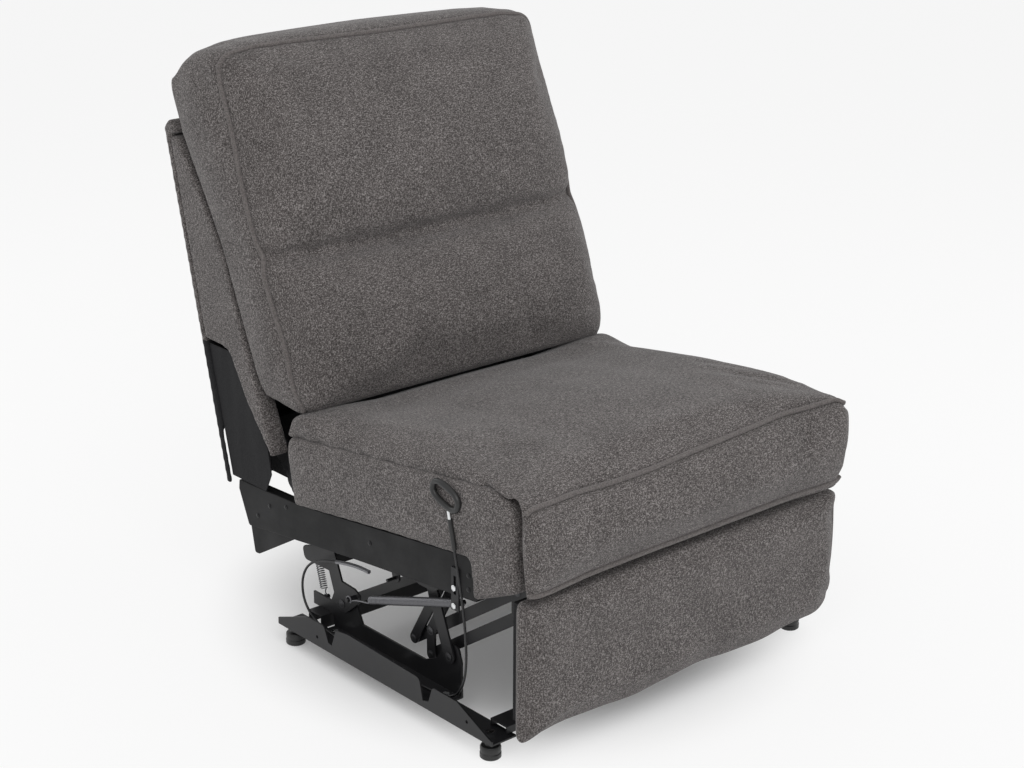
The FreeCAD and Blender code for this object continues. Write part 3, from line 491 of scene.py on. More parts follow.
def even_path(points, step=0.003):
    """Points at an even step along a smooth line through the given places."""
    curve = bpy.data.curves.new("path", "CURVE")
    curve.dimensions = "3D"
    curve.resolution_u = 24
    spline = curve.splines.new("BEZIER")
    spline.bezier_points.add(len(points) - 1)
    for point, place in zip(spline.bezier_points, points):
        point.co = place
        point.handle_left_type = point.handle_right_type = "AUTO"
    line = [vertex.co.copy() for vertex in evaluated(placed("path", curve)).vertices]
    even, carried = [line[0]], 0.0
    for a, b in zip(line, line[1:]):
        span = (b - a).length
        while carried + span >= step:
            a = a.lerp(b, (step - carried) / span)
            even.append(a)
            span = (b - a).length
            carried = 0.0
        carried += span
    return even


def laid_on(mesh, path, aim=None):
    """Places and normals where a path meets a surface: straight towards aim's point, or at its nearest."""
    edit = bmesh.new()
    edit.from_mesh(mesh)
    surface = BVHTree.FromBMesh(edit)
    edit.free()
    met = []
    for point in path:
        hit = (None, None)
        if aim:
            way = (aim(point) - point).normalized()
            hit = surface.ray_cast(point - way * 0.1, way)[:2]
        if hit[0] is None:
            hit = surface.find_nearest(point)[:2]
        met.append(hit)
    return met


def places_on(mesh, path, aim=None):
    return [place for place, _ in laid_on(mesh, path, aim)]


def press_seam(mesh, path, width, depth):
    """Draw the cover in along a sewn line."""
    line = KDTree(len(path))
    for index, point in enumerate(path):
        line.insert(point, index)
    line.balance()
    moves = []
    for vertex in mesh.vertices:
        distance = line.find(vertex.co)[2]
        if distance < width * 3:
            moves.append((vertex, vertex.normal * (-depth * math.exp(-(distance / width) ** 2))))
    for vertex, move in moves:
        vertex.co += move


def tube_mesh(path, radius, sides=10, closed=False):
    """A round tube whose rings follow a path without twisting, capped unless it closes on itself."""
    count = len(path)
    mesh = bpy.data.meshes.new("tube")
    with edited(mesh) as edit:
        rings, side = [], None
        for index, point in enumerate(path):
            after = path[(index + 1) % count] if closed or index + 1 < count else point
            before = path[index - 1] if closed or index else point
            heading = (after - before).normalized()
            if side is None:
                side = heading.orthogonal().normalized()
            side = (side - heading * side.dot(heading)).normalized()
            lift = heading.cross(side)
            rings.append([edit.verts.new(point + (side * math.cos(turn) + lift * math.sin(turn)) * radius)
                          for turn in (2 * math.pi * k / sides for k in range(sides))])
        for ring, following in zip(rings, rings[1:] + rings[:1] if closed else rings[1:]):
            for k in range(sides):
                edit.faces.new((ring[k], ring[(k + 1) % sides], following[(k + 1) % sides], following[k]))
        if not closed:
            edit.faces.new(rings[0][::-1])
            edit.faces.new(rings[-1])
        bmesh.ops.recalc_face_normals(edit, faces=edit.faces)
    mesh.shade_smooth()
    return mesh


def welt(name, mesh, points, body, aim):
    """Fabric piping sewn into a seam that runs over a cushion, half sunk in it."""
    radius = bpy.context.scene.recliner_fabric.welt_radius
    path = [place + normal * radius * 0.5 for place, normal in laid_on(mesh, even_path(points, 0.004), aim)]
    for _ in range(10):
        path = [path[0]] + [(a + b * 2 + c) / 4 for a, b, c in zip(path, path[1:], path[2:])] + [path[-1]]
    return new_piece(name, tube_mesh(path, radius), piping(), body)


def covering(name, mesh, body, node):
    """A fabric piece that takes the place of a CAD node, which it hides."""
    mesh.shade_smooth()
    piece = new_piece(name, mesh, chenille(), body)
    modifier = piece.modifiers.new("Subdivision", "SUBSURF")
    modifier.levels = modifier.render_levels = 1
    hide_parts(node)
    return piece


def cushion(name, node, body, voxel, inset, pressure, cap, held, seams, move=None, aim=None):
    """A padded piece made from its CAD solid: remeshed, inflated and sewn."""
    mesh = remeshed(node_mesh(node, name), voxel)
    if move:
        moulded(mesh, move)
    relaxed(mesh, 3)
    shrunk(mesh, inset)
    inflate(mesh, held, pressure, cap)
    relaxed(mesh, 2)
    for points, width, depth in seams:
        press_seam(mesh, places_on(mesh, even_path(points), aim), width, depth)
    return covering(name, mesh, body, node)


# Upholstery

BACK_HALF, BACK_WELT_X = 356.5, 350
BACK_SIDE_WELT = ((585, 432), (628, 559), (684, 689), (738, 831), (778, 935), (797, 992))
CHANNEL_Z = 694
BACK_TOP_WELT = ((318, 799, 1030), (259, 797, 1040), (160, 793, 1045), (0, 790, 1046))


def back_welt_points():
    """Round the back cushion's face: up the right side, over the top and down the left."""
    up = [(-BACK_WELT_X, y, z) for y, z in BACK_SIDE_WELT]
    over = [(-x, y, z) for x, y, z in BACK_TOP_WELT] + list(BACK_TOP_WELT[-2::-1])
    down = [(BACK_WELT_X, y, z) for y, z in BACK_SIDE_WELT[::-1]]
    return [at(*point) for point in up + over + down]


def back_channel_points():
    """The line of the seam sewn across the back, in front of the crowned face."""
    across = (-346, -290, -200, -100, 0, 100, 200, 290, 346)
    return [at(x, 688 - 54 * (1 - abs(x / BACK_WELT_X) ** 3), CHANNEL_Z) for x in across]


# The back's puff across its width: the solid's own, and the fuller one of the stuffed cover
BACK_PUFF = ((0.0, 1.0, 1.0), (0.3, 0.94, 0.98), (0.58, 0.79, 0.93), (0.8, 0.56, 0.84), (0.94, 0.27, 0.6),
             (1.0, 0.0, 0.0))
# At each height: how far the welted edge lies behind the solid's, then the puff's depth in solid and cover
BACK_FACE = ((444, 20, 13, 34), (562, 37, 44, 80), (698, 28, 27, 55), (866, 47, 46, 91), (1000, 15, 11, 27))


def back_shape(place):
    """Set the welted edges back, puff the two fields and fill the top corners."""
    solid_puff, puff = between(BACK_PUFF, abs(place.x) / BACK_HALF)
    edge, solid_depth, depth = between(BACK_FACE, place.z)
    rear = 698 + (place.z - 433) * 0.4871
    front = ease(10, 90, rear - place.y)
    top = ease(925, 1000, place.z)
    heel = ease(880, 950, place.z) * ease(835, 900, place.y)
    y = front * (edge - depth * puff + solid_depth * solid_puff) * (1 - heel) + heel * (22 - 14 * puff)
    z = top * (4 + 42 * puff - 38 * solid_puff) * (1 - 0.5 * heel) + heel * 10
    x = math.copysign(8 * ease(300, 350, abs(place.x)) * ease(430, 480, place.z), place.x)
    return x, y, z


def back_core(point):
    """The point inside the back that a welt is laid towards."""
    top = 0.9
    return Vector((point.x * 0.6, point.y, min(point.z, top)))


def behind(point):
    """A point straight behind, for seams that are laid on from the front."""
    return point + Vector((0, 1, 0))


class RECLINER_OT_back_cushion(bpy.types.Operator):
    """Two puffed fields of the back, boxed round with a welt and sewn across"""
    bl_idname = "recliner.back_cushion"
    bl_label = "Back cushion"

    def execute(self, context):
        edge = back_welt_points()
        boxing = [[at(side * 352, y, z) for y, z in ((792, 952), (850, 957), (925, 948))] for side in SIDES]
        seams = [(edge, 0.006, 0.003)] + [(line, 0.003, 0.002) for line in boxing]
        piece = cushion("back_cushion_cover", "back_cushion", "back", 0.008, 0.005, 4.0, 0.008,
                        lambda place, normal: normal.y > 0.5 or abs(place.z - CHANNEL_Z) < 8,
                        seams, back_shape, back_core)
        channel = even_path(back_channel_points())
        for width, depth in ((0.016, 0.01), (0.0045, 0.014)):
            channel = places_on(piece.data, channel, behind)
            press_seam(piece.data, channel, width, depth)
        thread = tube_mesh(places_on(piece.data, channel, behind), 0.0009, 6)
        new_piece("back_channel_thread", thread, chenille(), "back")
        welt("back_cushion_welt", piece.data, edge, "back", back_core)
        return {"FINISHED"}


SEAT_HALF = 364
SEAT_UPPER_WELT = ((-368, -10, 452), (-350, -18, 453), (-260, -23, 450), (-140, -26, 448), (0, -28, 453),
                   (140, -27, 457), (260, -24, 459), (350, -19, 459), (369, -11, 456))
SEAT_LOWER_WELT = ((-366, -13, 311), (-345, -16, 309), (-220, -18, 311), (0, -18, 314), (220, -18, 315),
                   (354, -16, 315), (366, -13, 314))


def side_seam(y):
    """Height of the seam between the seat's top and its side panels. It falls to the rear."""
    return 454 - 0.128 * (y - 54)


def seat_shape(place):
    """Lift the top's side edges and its rear, where the filling stands up against the back."""
    across = abs(place.x) / SEAT_HALF
    ends = ease(0.6, 1.0, across)
    band = 1 - ease(20, 110, place.y)
    low = 1 - ease(300, 325, place.z)
    over = ease(0, 10, place.z - side_seam(place.y))
    side = ease(0.45, 0.97, across)
    along = ease(10, 120, place.y)
    rear = ease(470, 600, place.y)
    lift = over * (20 * side * along * (1 - 0.2 * rear) + 21 * rear)
    out = math.copysign((8 * band * ease(300, 400, place.z) + 4 * rear * over) * ends, place.x)
    return out, -band * (11 * ends + 2), lift - 3 * low * band


class RECLINER_OT_seat_cushion(bpy.types.Operator):
    """Crowned seat with its front band, welted above and below"""
    bl_idname = "recliner.seat_cushion"
    bl_label = "Seat cushion"

    def execute(self, context):
        upper = [at(*point) for point in SEAT_UPPER_WELT]
        lower = [at(*point) for point in SEAT_LOWER_WELT]
        ends = [[at(side * 360, y, z) for y, z in ((-18, 448), (-22, 380), (-14, 308))] for side in SIDES]
        seams = [(upper, 0.007, 0.005), (lower, 0.006, 0.003)] + [(line, 0.003, 0.004) for line in ends]
        piece = cushion("seat_cushion_cover", "seat_cushion", "seat", 0.008, 0.004, 4.0, 0.009,
                        lambda place, normal: normal.z < -0.3 or (normal.y > 0.5 and place.z < 440),
                        seams, seat_shape, behind)
        welt("seat_upper_welt", piece.data, upper, "seat", behind)
        welt("seat_lower_welt", piece.data, lower, "seat", behind)
        return {"FINISHED"}


class RECLINER_OT_seat_sides(bpy.types.Operator):
    """Padded side panels between the seat and the side rails"""
    bl_idname = "recliner.seat_sides"
    bl_label = "Seat sides"

    def execute(self, context):
        for side in SIDES:
            node = "seat_side_" + SIDE_NAMES[side]
            cushion(node + "_cover", node, "seat", 0.005, 0.002, 3.0, 0.004,
                    lambda place, normal, side=side: normal.x * side < 0.4, [], self.risen)
        return {"FINISHED"}

    def risen(self, place):
        """The upper edge goes on into the seat's rounded side."""
        return 0, 0, 12 * ease(-30, 0, place.z - side_seam(place.y))


class RECLINER_OT_footrest_pad(bpy.types.Operator):
    """Footrest panel with seamed edges and a loose, rippled hem"""
    bl_idname = "recliner.footrest_pad"
    bl_label = "Footrest pad"

    def execute(self, context):
        edges = [[at(side * 359, 0, z) for z in (292, 230, 150, 70)] for side in SIDES]
        piece = cushion("footrest_pad_cover", "footrest_pad", "footrest", 0.006, 0.0, 3.0, 0.006,
                        lambda place, normal: normal.y > 0.4,
                        [(line, 0.003, 0.004) for line in edges], self.flap)
        self.ripple(piece.data)
        return {"FINISHED"}

    def flap(self, place):
        """The cover's edges are thin: their back is drawn in towards the board."""
        inwards = 11 * ease(4, 26, place.y) * ease(335, 368, abs(place.x))
        return math.copysign(inwards, -place.x), 0, 0

    def ripple(self, mesh):
        """Slack cloth low down: shallow folds that grow towards the hem."""
        for vertex in mesh.vertices:
            place = vertex.co * 1000
            low = max(0.0, 1 - (place.z - 60) / 130)
            reach = 0.5 + 0.5 * math.sin(place.x / 61 + 0.8) * math.sin(place.x / 23)
            vertex.co.z += low * low * (0.004 * math.sin(place.x / 47 + 1.0) - 0.006)
            if vertex.normal.y < 0.3:
                vertex.co.y += 0.0035 * low * reach


# Shell of the back

def soft_shell(name, node):
    """Fabric over a board of the back: the CAD form with softened edges."""
    mesh = remeshed(node_mesh(node, name), 0.005)
    relaxed(mesh, 3)
    return covering(name, mesh, "back", node)


class RECLINER_OT_back_shell(bpy.types.Operator):
    """Outside back, fabric sides and the black cloth that closes the cut-aways"""
    bl_idname = "recliner.back_shell"
    bl_label = "Back shell"

    def execute(self, context):
        self.blacken(soft_shell("outside_back_cover", "outside_back").data)
        for side in SIDES:
            self.cutaway(side)
        for name in SIDE_NAMES.values():
            soft_shell("back_side_cover_" + name, "back_side_" + name)
        painted(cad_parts["back_covers"], dust_cloth_and_shade())
        return {"FINISHED"}

    def blacken(self, mesh):
        """Low down, the panel's edges are closed with black cloth."""
        mesh.materials.append(dust_cloth_and_shade())
        for face in mesh.polygons:
            if face.center.z < 0.503 and (abs(face.normal.x) > 0.5 or face.normal.y < -0.2):
                face.material_index = 1

    def cutaway(self, side):
        """Black board that closes the cut-away beside the rail, flush with the fabric."""
        outline = ((797, 264), (854, 498), (792, 498), (775, 488), (746, 430), (684, 346), (676, 300),
                   (694, 264))
        mesh = bpy.data.meshes.new("cutaway_board_" + SIDE_NAMES[side])
        with edited(mesh) as edit:
            inner, outer = ([edit.verts.new(at(side * x, y, z)) for y, z in outline] for x in (351.6, 353.6))
            edit.faces.new(inner)
            edit.faces.new(outer[::-1])
            for k in range(len(outline)):
                edit.faces.new((inner[k - 1], inner[k], outer[k], outer[k - 1]))
            bmesh.ops.recalc_face_normals(edit, faces=edit.faces)
        new_piece(mesh.name, mesh, dust_cloth_and_shade(), "back")


# Frame and mechanism

def eased(name, node, body, material, width):
    """A hard piece made from its CAD solid, its flat faces whole again and its sharp edges eased."""
    mesh = node_mesh(node, name)
    with edited(mesh) as edit:
        bmesh.ops.dissolve_limit(edit, angle_limit=math.radians(1.0), verts=edit.verts, edges=edit.edges)
    piece = new_piece(name, mesh, material, body)
    bevel = piece.modifiers.new("Bevel", "BEVEL")
    bevel.width = width
    bevel.segments = 2
    bevel.limit_method = "ANGLE"
    bevel.angle_limit = math.radians(35)
    crisp(mesh, 32)
    piece.modifiers.new("Normals", "WEIGHTED_NORMAL").keep_sharp = True
    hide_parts(node)


def paired(stem):
    return [stem + "_" + name for name in SIDE_NAMES.values()]


STEELWORK = {
    "base": paired("base_rail") + paired("base_plate") + ["front_cross_bar", "rear_cross_bar"],
    "rear_lift": paired("rear_lift_link") + ["lift_torque_tube"],
    "front_lift": ["front_lift_links"],
    "seat": paired("seat_plate") + ["spring_hangers"],
    "footrest_drive": paired("drive_link") + ["drive_tube"],
    "footrest_guide": ["guide_links"],
    "long_links": paired("long_link"),
    "lower_links": paired("lower_link"),
    "footrest": ["footrest_brackets"],
    "back": paired("back_bracket"),
    "back_ties": ["back_links"],
    "latch": ["release_lever"],
}


class RECLINER_OT_steelwork(bpy.types.Operator):
    """Channels, plates, links and tubes in black enamel"""
    bl_idname = "recliner.steelwork"
    bl_label = "Steelwork"

    def execute(self, context):
        width = context.scene.recliner_hardware.bevel
        for body, nodes in STEELWORK.items():
            for node in nodes:
                eased(node + "_steel", node, body, enamel(), width)
        return {"FINISHED"}


# Front and rear rails, footrest board and back frame take the black cloth as painted shade for the dark gaps
# where they show
WOODWORK = (
    ("seat", ("side_rail_right", "side_rail_left"), painted_board, "black_board"),
    ("seat", ("front_rail", "rear_rail"), dust_cloth_and_shade, "black_cloth"),
    ("footrest", ("footrest_board",), dust_cloth_and_shade, "black_cloth"),
    ("back", ("back_frame",), dust_cloth_and_shade, "black_cloth"),
)


class RECLINER_OT_woodwork(bpy.types.Operator):
    """Painted side rails, and the frame's boards in black cloth, a painted shade where they show in the gaps
    """
    bl_idname = "recliner.woodwork"
    bl_label = "Woodwork"

    def execute(self, context):
        for body, nodes, finish, slot in WOODWORK:
            for node in nodes:
                eased(node + "_board", node, body, finish(), 0.0012)
        return {"FINISHED"}


class RECLINER_OT_feet(bpy.types.Operator):
    """Ribbed levelling feet on threaded stems under the channels"""
    bl_idname = "recliner.feet"
    bl_label = "Levelling feet"

    PROFILE = ((0, 0), (15.5, 0), (17.5, 2), (17.5, 9), (16.4, 10), (16.4, 12), (17.2, 13), (17.2, 20),
               (15.5, 22), (9.5, 23), (8, 26), (5, 27), (5, 37.6), (0, 37.6))

    def execute(self, context):
        mesh = bpy.data.meshes.new("levelling_feet_turned")
        with edited(mesh) as edit:
            for side in SIDES:
                for y in FOOT_Y:
                    self.turn(edit, side * FOOT_X, y)
            bmesh.ops.recalc_face_normals(edit, faces=edit.faces)
        crisp(mesh, 40)
        piece = new_piece("levelling_feet_turned", mesh, black_plastic(), "base")
        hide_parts("levelling_feet")
        return {"FINISHED"}

    def turn(self, edit, x, y, sides=32):
        rings = []
        for radius, z in self.PROFILE:
            if radius == 0:
                rings.append([edit.verts.new(at(x, y, z))])
                continue
            ring = []
            for k in range(sides):
                angle = 2 * math.pi * k / sides
                grip = radius - (0.6 if k % 2 and 12 < z < 22 else 0.0)
                ring.append(edit.verts.new(at(x + grip * math.cos(angle), y + grip * math.sin(angle), z)))
            rings.append(ring)
        for low, high in zip(rings, rings[1:]):
            for k in range(sides):
                on = (k + 1) % sides
                corners = [low[k % len(low)], low[on % len(low)], high[on % len(high)], high[k % len(high)]]
                edit.faces.new(list(dict.fromkeys(corners)))


# Geometry Nodes: heads at the pivots, and coils

def new_tree(name, inputs):
    """An empty modifier tree with named inputs, a short way to add nodes, and what the inputs hand in."""
    tree = bpy.data.node_groups.new(name, "GeometryNodeTree")
    tree.interface.new_socket("Geometry", in_out="INPUT", socket_type="NodeSocketGeometry")
    for label, kind in inputs.items():
        tree.interface.new_socket(label, in_out="INPUT", socket_type="NodeSocket" + kind)
    tree.interface.new_socket("Geometry", in_out="OUTPUT", socket_type="NodeSocketGeometry")
    return tree, partial(wired, tree), tree.nodes.new("NodeGroupInput").outputs


def closed_tree(tree, shape, material):
    """The tree, with its shape made real, painted and handed out."""
    solid = wired(tree, "GeometryNodeRealizeInstances", {0: shape})
    paint = wired(tree, "GeometryNodeSetMaterial", {"Geometry": solid, "Material": material})
    tree.links.new(paint, tree.nodes.new("NodeGroupOutput").inputs["Geometry"])
    return tree


def run_tree(name, build, mesh, values):
    """The plain mesh that a tree makes of a mesh, with its inputs set by name."""
    holder = placed("tree", mesh)
    modifier = holder.modifiers.new("Tree", "NODES")
    modifier.node_group = bpy.data.node_groups.get(name) or build(name)
    for socket in modifier.node_group.interface.items_tree:
        if socket.in_out == "INPUT" and socket.name in values:
            modifier[socket.identifier] = values[socket.name]
    return evaluated(holder)


def head_tree(name):
    """Rivet or bolt heads that stand on points, along each point's facing."""
    tree, add, given = new_tree(name, {
        "Radius": "Float", "Height": "Float", "Sides": "Int", "Dome": "Float", "Material": "Material"})
    disc = add("GeometryNodeMeshCylinder", {
        "Vertices": given["Sides"], "Radius": given["Radius"], "Depth": given["Height"]}, "Mesh")
    half = add("ShaderNodeMath", {0: given["Height"], 1: 0.5}, operation="MULTIPLY")
    lift = add("ShaderNodeCombineXYZ", {"Z": half})
    raised = add("GeometryNodeTransform", {"Geometry": disc, "Translation": lift})
    ball = add("GeometryNodeMeshUVSphere", {"Segments": 16, "Rings": 8, "Radius": 1.0}, "Mesh")
    inner = add("ShaderNodeMath", {0: given["Radius"], 1: 0.72}, operation="MULTIPLY")
    squat = add("ShaderNodeCombineXYZ", {"X": inner, "Y": inner, "Z": given["Dome"]})
    top = add("ShaderNodeCombineXYZ", {"Z": given["Height"]})
    dome = add("GeometryNodeTransform", {"Geometry": ball, "Translation": top, "Scale": squat})
    head = add("GeometryNodeJoinGeometry", {0: [raised, dome]})
    facing = add("GeometryNodeInputNamedAttribute", {"Name": "facing"}, "Attribute", data_type="FLOAT_VECTOR")
    aim = add("FunctionNodeAlignRotationToVector", {"Vector": facing}, axis="Z")
    copies = add("GeometryNodeInstanceOnPoints", {
        "Points": given["Geometry"], "Instance": head, "Rotation": aim})
    return closed_tree(tree, copies, given["Material"])


def facing_points(places):
    """A mesh of loose points, each with the way that it faces."""
    mesh = bpy.data.meshes.new("points")
    mesh.from_pydata([place for place, _ in places], [], [])
    attribute = mesh.attributes.new("facing", "FLOAT_VECTOR", "POINT")
    for entry, (_, way) in zip(attribute.data, places):
        entry.vector = way
    return mesh


def heads(name, places, body, material, radius, height, sides, dome):
    mesh = run_tree("Heads", head_tree, facing_points(places), {
        "Radius": radius, "Height": height, "Sides": sides, "Dome": dome, "Material": material})
    crisp(mesh, 40)
    new_piece(name, mesh, material, body)


# Each body's rivets: pivot, then |x| of the face that the head stands on, and whether it faces inwards
PIVOTS = {
    "base": ((LIFT_REAR, 322.2, 1), (LIFT_FRONT, 322.2, 1)),
    "seat": ((SEAT_FRONT, 317.8, -1), (SEAT_REAR, 317.8, -1), (BACK_PIVOT, 317.8, -1), (DRIVE, 302.8, -1),
             (GUIDE, 302.8, -1)),
    "rear_lift": ((LIFT_HORN, 311.8, -1),),
    "back": ((BACK_ARM, 311.8, -1),),
    "footrest_drive": ((KNEE, 296.8, -1), (LOWER_KNEE, 296.8, -1), (KNEE, 307.0, 1), (LOWER_KNEE, 307.0, 1)),
    "footrest_guide": ((GUIDE_KNEE, 296.8, -1), (GUIDE_KNEE, 307.0, 1)),
    "footrest": ((TOE, 296.8, -1), (LOWER_TOE, 296.8, -1), (TOE, 307.0, 1), (LOWER_TOE, 307.0, 1)),
}


class RECLINER_OT_rivets(bpy.types.Operator):
    """Flat domed rivet heads at every pivot"""
    bl_idname = "recliner.rivets"
    bl_label = "Rivets"

    def execute(self, context):
        radius = context.scene.recliner_hardware.rivet_radius
        for body, pivots in PIVOTS.items():
            places = [(at(side * x, *pivot), (side * way, 0, 0))
                      for side in SIDES for pivot, x, way in pivots]
            heads(body + "_rivets", places, body, dark_steel(), radius, 0.0008, 24, 0.0008)
        return {"FINISHED"}


class RECLINER_OT_fasteners(bpy.types.Operator):
    """Screws that hold the mechanism to the rails, and plated nuts"""
    bl_idname = "recliner.fasteners"
    bl_label = "Fasteners"

    RAIL_SCREWS = ((146, 292), (146, 268), (400, 262), (690, 236), (728, 206), (640, 250))

    def execute(self, context):
        rail = [(at(side * 350.0, y, z), (side, 0, 0)) for side in SIDES for y, z in self.RAIL_SCREWS]
        heads("rail_screws", rail, "seat", enamel(), 0.0042, 0.0009, 16, 0.0012)
        hanger = [(at(side * 353.0, SPRING_HANGER[0], z), (side, 0, 0)) for side in SIDES for z in (231, 262)]
        heads("hanger_bolts", hanger, "seat", zinc_plate(), 0.0055, 0.003, 6, 0.0009)
        for node in ("foot_nuts", "base_screws", "back_bolts"):
            painted(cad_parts[node], zinc_plate())
        return {"FINISHED"}


def coil_tree(name):
    """A wire coil of a given length about z, from the origin."""
    tree, add, given = new_tree(name, {
        "Turns": "Float", "Radius": "Float", "Length": "Float", "Wire": "Float", "Material": "Material"})
    spiral = add("GeometryNodeCurveSpiral", {
        "Resolution": 16, "Rotations": given["Turns"], "Start Radius": given["Radius"],
        "End Radius": given["Radius"], "Height": given["Length"]})
    ring = add("GeometryNodeCurvePrimitiveCircle", {"Resolution": 7, "Radius": given["Wire"]})
    wire = add("GeometryNodeCurveToMesh", {"Curve": spiral, "Profile Curve": ring, "Fill Caps": True})
    both = add("GeometryNodeJoinGeometry", {0: [wire, given["Geometry"]]})
    return closed_tree(tree, both, given["Material"])


def hook_path(x, peg, towards, radius, wire, reach):
    """Wire from the coil's end along its axis and round the far side of a peg."""
    centre = at(x, *peg)
    axis = (at(x, *towards) - centre).normalized()
    across = Vector((1, 0, 0)).cross(axis)
    bend = (PEG_R / 1000) + wire
    loop = [centre + (axis * math.cos(turn) + across * math.sin(turn)) * bend
            for turn in (math.radians(angle) for angle in range(-170, 61, 23))]
    return loop + [centre + axis * (bend * 1.9) + across * (radius * 0.35),
                   centre + axis * reach + across * radius]


class RECLINER_OT_springs(bpy.types.Operator):
    """Plated extension springs of the lift links and the base, with hooked ends"""
    bl_idname = "recliner.springs"
    bl_label = "Springs"

    def execute(self, context):
        hardware = context.scene.recliner_hardware
        for side, side_name in SIDE_NAMES.items():
            self.spring("lift_spring_" + side_name, side * SPRING_X, LIFT_PEG, SPRING_HANGER, 0.0080, 0.0014,
                        hardware.lift_turns, (0.066, 0.014), ("rear_lift", "seat"))
            self.spring("rear_spring_" + side_name, side * BASE_SPRING_X, BASE_PEG, ARM_PEG, 0.0070, 0.0010,
                        hardware.base_turns, (0.016, 0.014), ("base", "rear_lift"))
        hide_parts("lift_springs")
        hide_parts("base_springs")
        return {"FINISHED"}

    def spring(self, name, x, first, last, radius, wire, turns, leads, bodies):
        """A coil between two pegs, with a straight lead and a hook at each end."""
        start, end = at(x, *first), at(x, *last)
        axis = (end - start).normalized()
        coil_start, coil_end = start + axis * leads[0], end - axis * leads[1]
        coil = run_tree("Coil", coil_tree, bpy.data.meshes.new("blank"), {
            "Turns": float(turns), "Radius": radius - wire, "Length": (coil_end - coil_start).length,
            "Wire": wire, "Material": spring_steel()})
        across = Vector((1, 0, 0))
        turned = Matrix((across, axis.cross(across), axis)).transposed().to_4x4()
        coil.transform(Matrix.Translation(coil_start) @ turned)
        hooks = [tube_mesh(even_path(hook_path(x, peg, other, radius - wire, wire, reach), 0.0008), wire, 8)
                 for peg, other, reach in ((first, last, leads[0]), (last, first, leads[1]))]
        mesh = join_meshes(name, [coil] + hooks)
        mesh.shade_smooth()
        piece = new_piece(name, mesh, spring_steel(), None)
        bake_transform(piece)


class RECLINER_OT_deck_springs(bpy.types.Operator):
    """Sinuous wire springs from rail to rail under the seat"""
    bl_idname = "recliner.deck_springs"
    bl_label = "Deck springs"

    TURNS, SWAY = 13, 0.022

    def execute(self, context):
        low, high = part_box("seat_springs")
        mesh = join_meshes("deck_springs_wire", [tube_mesh(self.zigzag(x, low, high), 0.0019, 8)
                                                 for x in (-0.24, -0.12, 0.0, 0.12, 0.24)])
        mesh.shade_smooth()
        piece = new_piece("deck_springs_wire", mesh, dark_steel(), "seat")
        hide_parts("seat_springs")
        return {"FINISHED"}

    def zigzag(self, x, low, high):
        steps = self.TURNS * 10
        points = []
        for index in range(steps + 1):
            share = index / steps
            sway = self.SWAY * math.cos(math.pi * self.TURNS * share)
            height = high[2] - 0.002 + (low[2] - high[2] + 0.004) * share
            points.append(Vector((x + sway, low[1] + (high[1] - low[1]) * share, height)))
        return points


class RECLINER_OT_webbing(bpy.types.Operator):
    """Elastic straps behind the back cushion"""
    bl_idname = "recliner.webbing"
    bl_label = "Webbing"

    def execute(self, context):
        eased("back_webbing_strap", "back_webbing", "back", strap(), 0.0003)
        return {"FINISHED"}


# Release cable and pull ring

CABLE_X, CHANNEL_X = -368.8, -357
CABLE_ROUTE = (
    (CABLE_X, 157, 338), (CABLE_X, 146, 290), (CABLE_X, 136, 240), (CABLE_X + 1, 131, 190),
    (CABLE_X + 4, 134, 142), (CABLE_X + 8, 147, 102), (CHANNEL_X, 172, 72), (CHANNEL_X + 2, 210, 60),
    (CHANNEL_X + 1, 265, 57), (CHANNEL_X, 325, 58), (CHANNEL_X + 2, 385, 56.5), (CHANNEL_X, 445, 57),
    (CHANNEL_X + 1, 500, 56.5), (CHANNEL_X + 3, 552, 62), (CHANNEL_X + 6, 590, 83),
    (CHANNEL_X + 10, 604, 118), (CHANNEL_X + 14, 594, 152), (CHANNEL_X + 18, 562, 174),
    (CHANNEL_X + 20, 512, 186))
CABLE_LENGTH, CABLE_DIAMETER = 0.87, 0.0044


class RECLINER_OT_release_cable(bpy.types.Operator):
    """Jacketed cable from the pull ring's sleeve, through the channel, to the latch"""
    bl_idname = "recliner.release_cable"
    bl_label = "Release cable"

    def execute(self, context):
        curve = bpy.data.curves.new("release_cable_jacket", "CURVE")
        curve.dimensions = "3D"
        curve.bevel_depth = CABLE_DIAMETER / 2
        curve.bevel_resolution = 4
        curve.resolution_u = 10
        curve.use_fill_caps = True
        spline = curve.splines.new("NURBS")
        spline.points.add(len(CABLE_ROUTE) - 1)
        for point, place in zip(spline.points, CABLE_ROUTE):
            point.co = (*at(*place), 1.0)
        spline.order_u = 3
        spline.use_endpoint_u = True
        cable = new_piece("release_cable_jacket", curve, cable_jacket(), "seat")
        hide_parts("release_cable")
        painted(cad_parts["cable_sleeve"], black_plastic())
        painted(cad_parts["cable_end_tube"], spring_steel())
        return {"FINISHED"}


class RECLINER_OT_pull_ring(bpy.types.Operator):
    """Moulded ring and the crimped ferrule under it"""
    bl_idname = "recliner.pull_ring"
    bl_label = "Pull ring"

    CENTRE, HALF_LENGTH, HALF_HEIGHT, TILT = (177, 423), 31, 15.5, math.radians(17)

    def loop(self):
        """Rounded oblong line of the ring's middle, tilted down to the front."""
        points = []
        for k in range(64):
            turn = 2 * math.pi * k / 64
            along, upward = (math.copysign(abs(share) ** 0.75, share) * half for share, half in (
                (math.cos(turn), self.HALF_LENGTH), (math.sin(turn), self.HALF_HEIGHT)))
            y = self.CENTRE[0] + along * math.cos(self.TILT) - upward * math.sin(self.TILT)
            z = self.CENTRE[1] + along * math.sin(self.TILT) + upward * math.cos(self.TILT)
            points.append(at(CABLE_X - 1.2, y, z))
        return points

    def execute(self, context):
        mesh = tube_mesh(self.loop(), 0.0052, 16, closed=True)
        ring = new_piece("pull_ring_moulding", mesh, black_plastic(), "pull_handle")
        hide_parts("pull_ring")
        painted(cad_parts["pull_ferrule"], zinc_plate())
        return {"FINISHED"}


# Stage

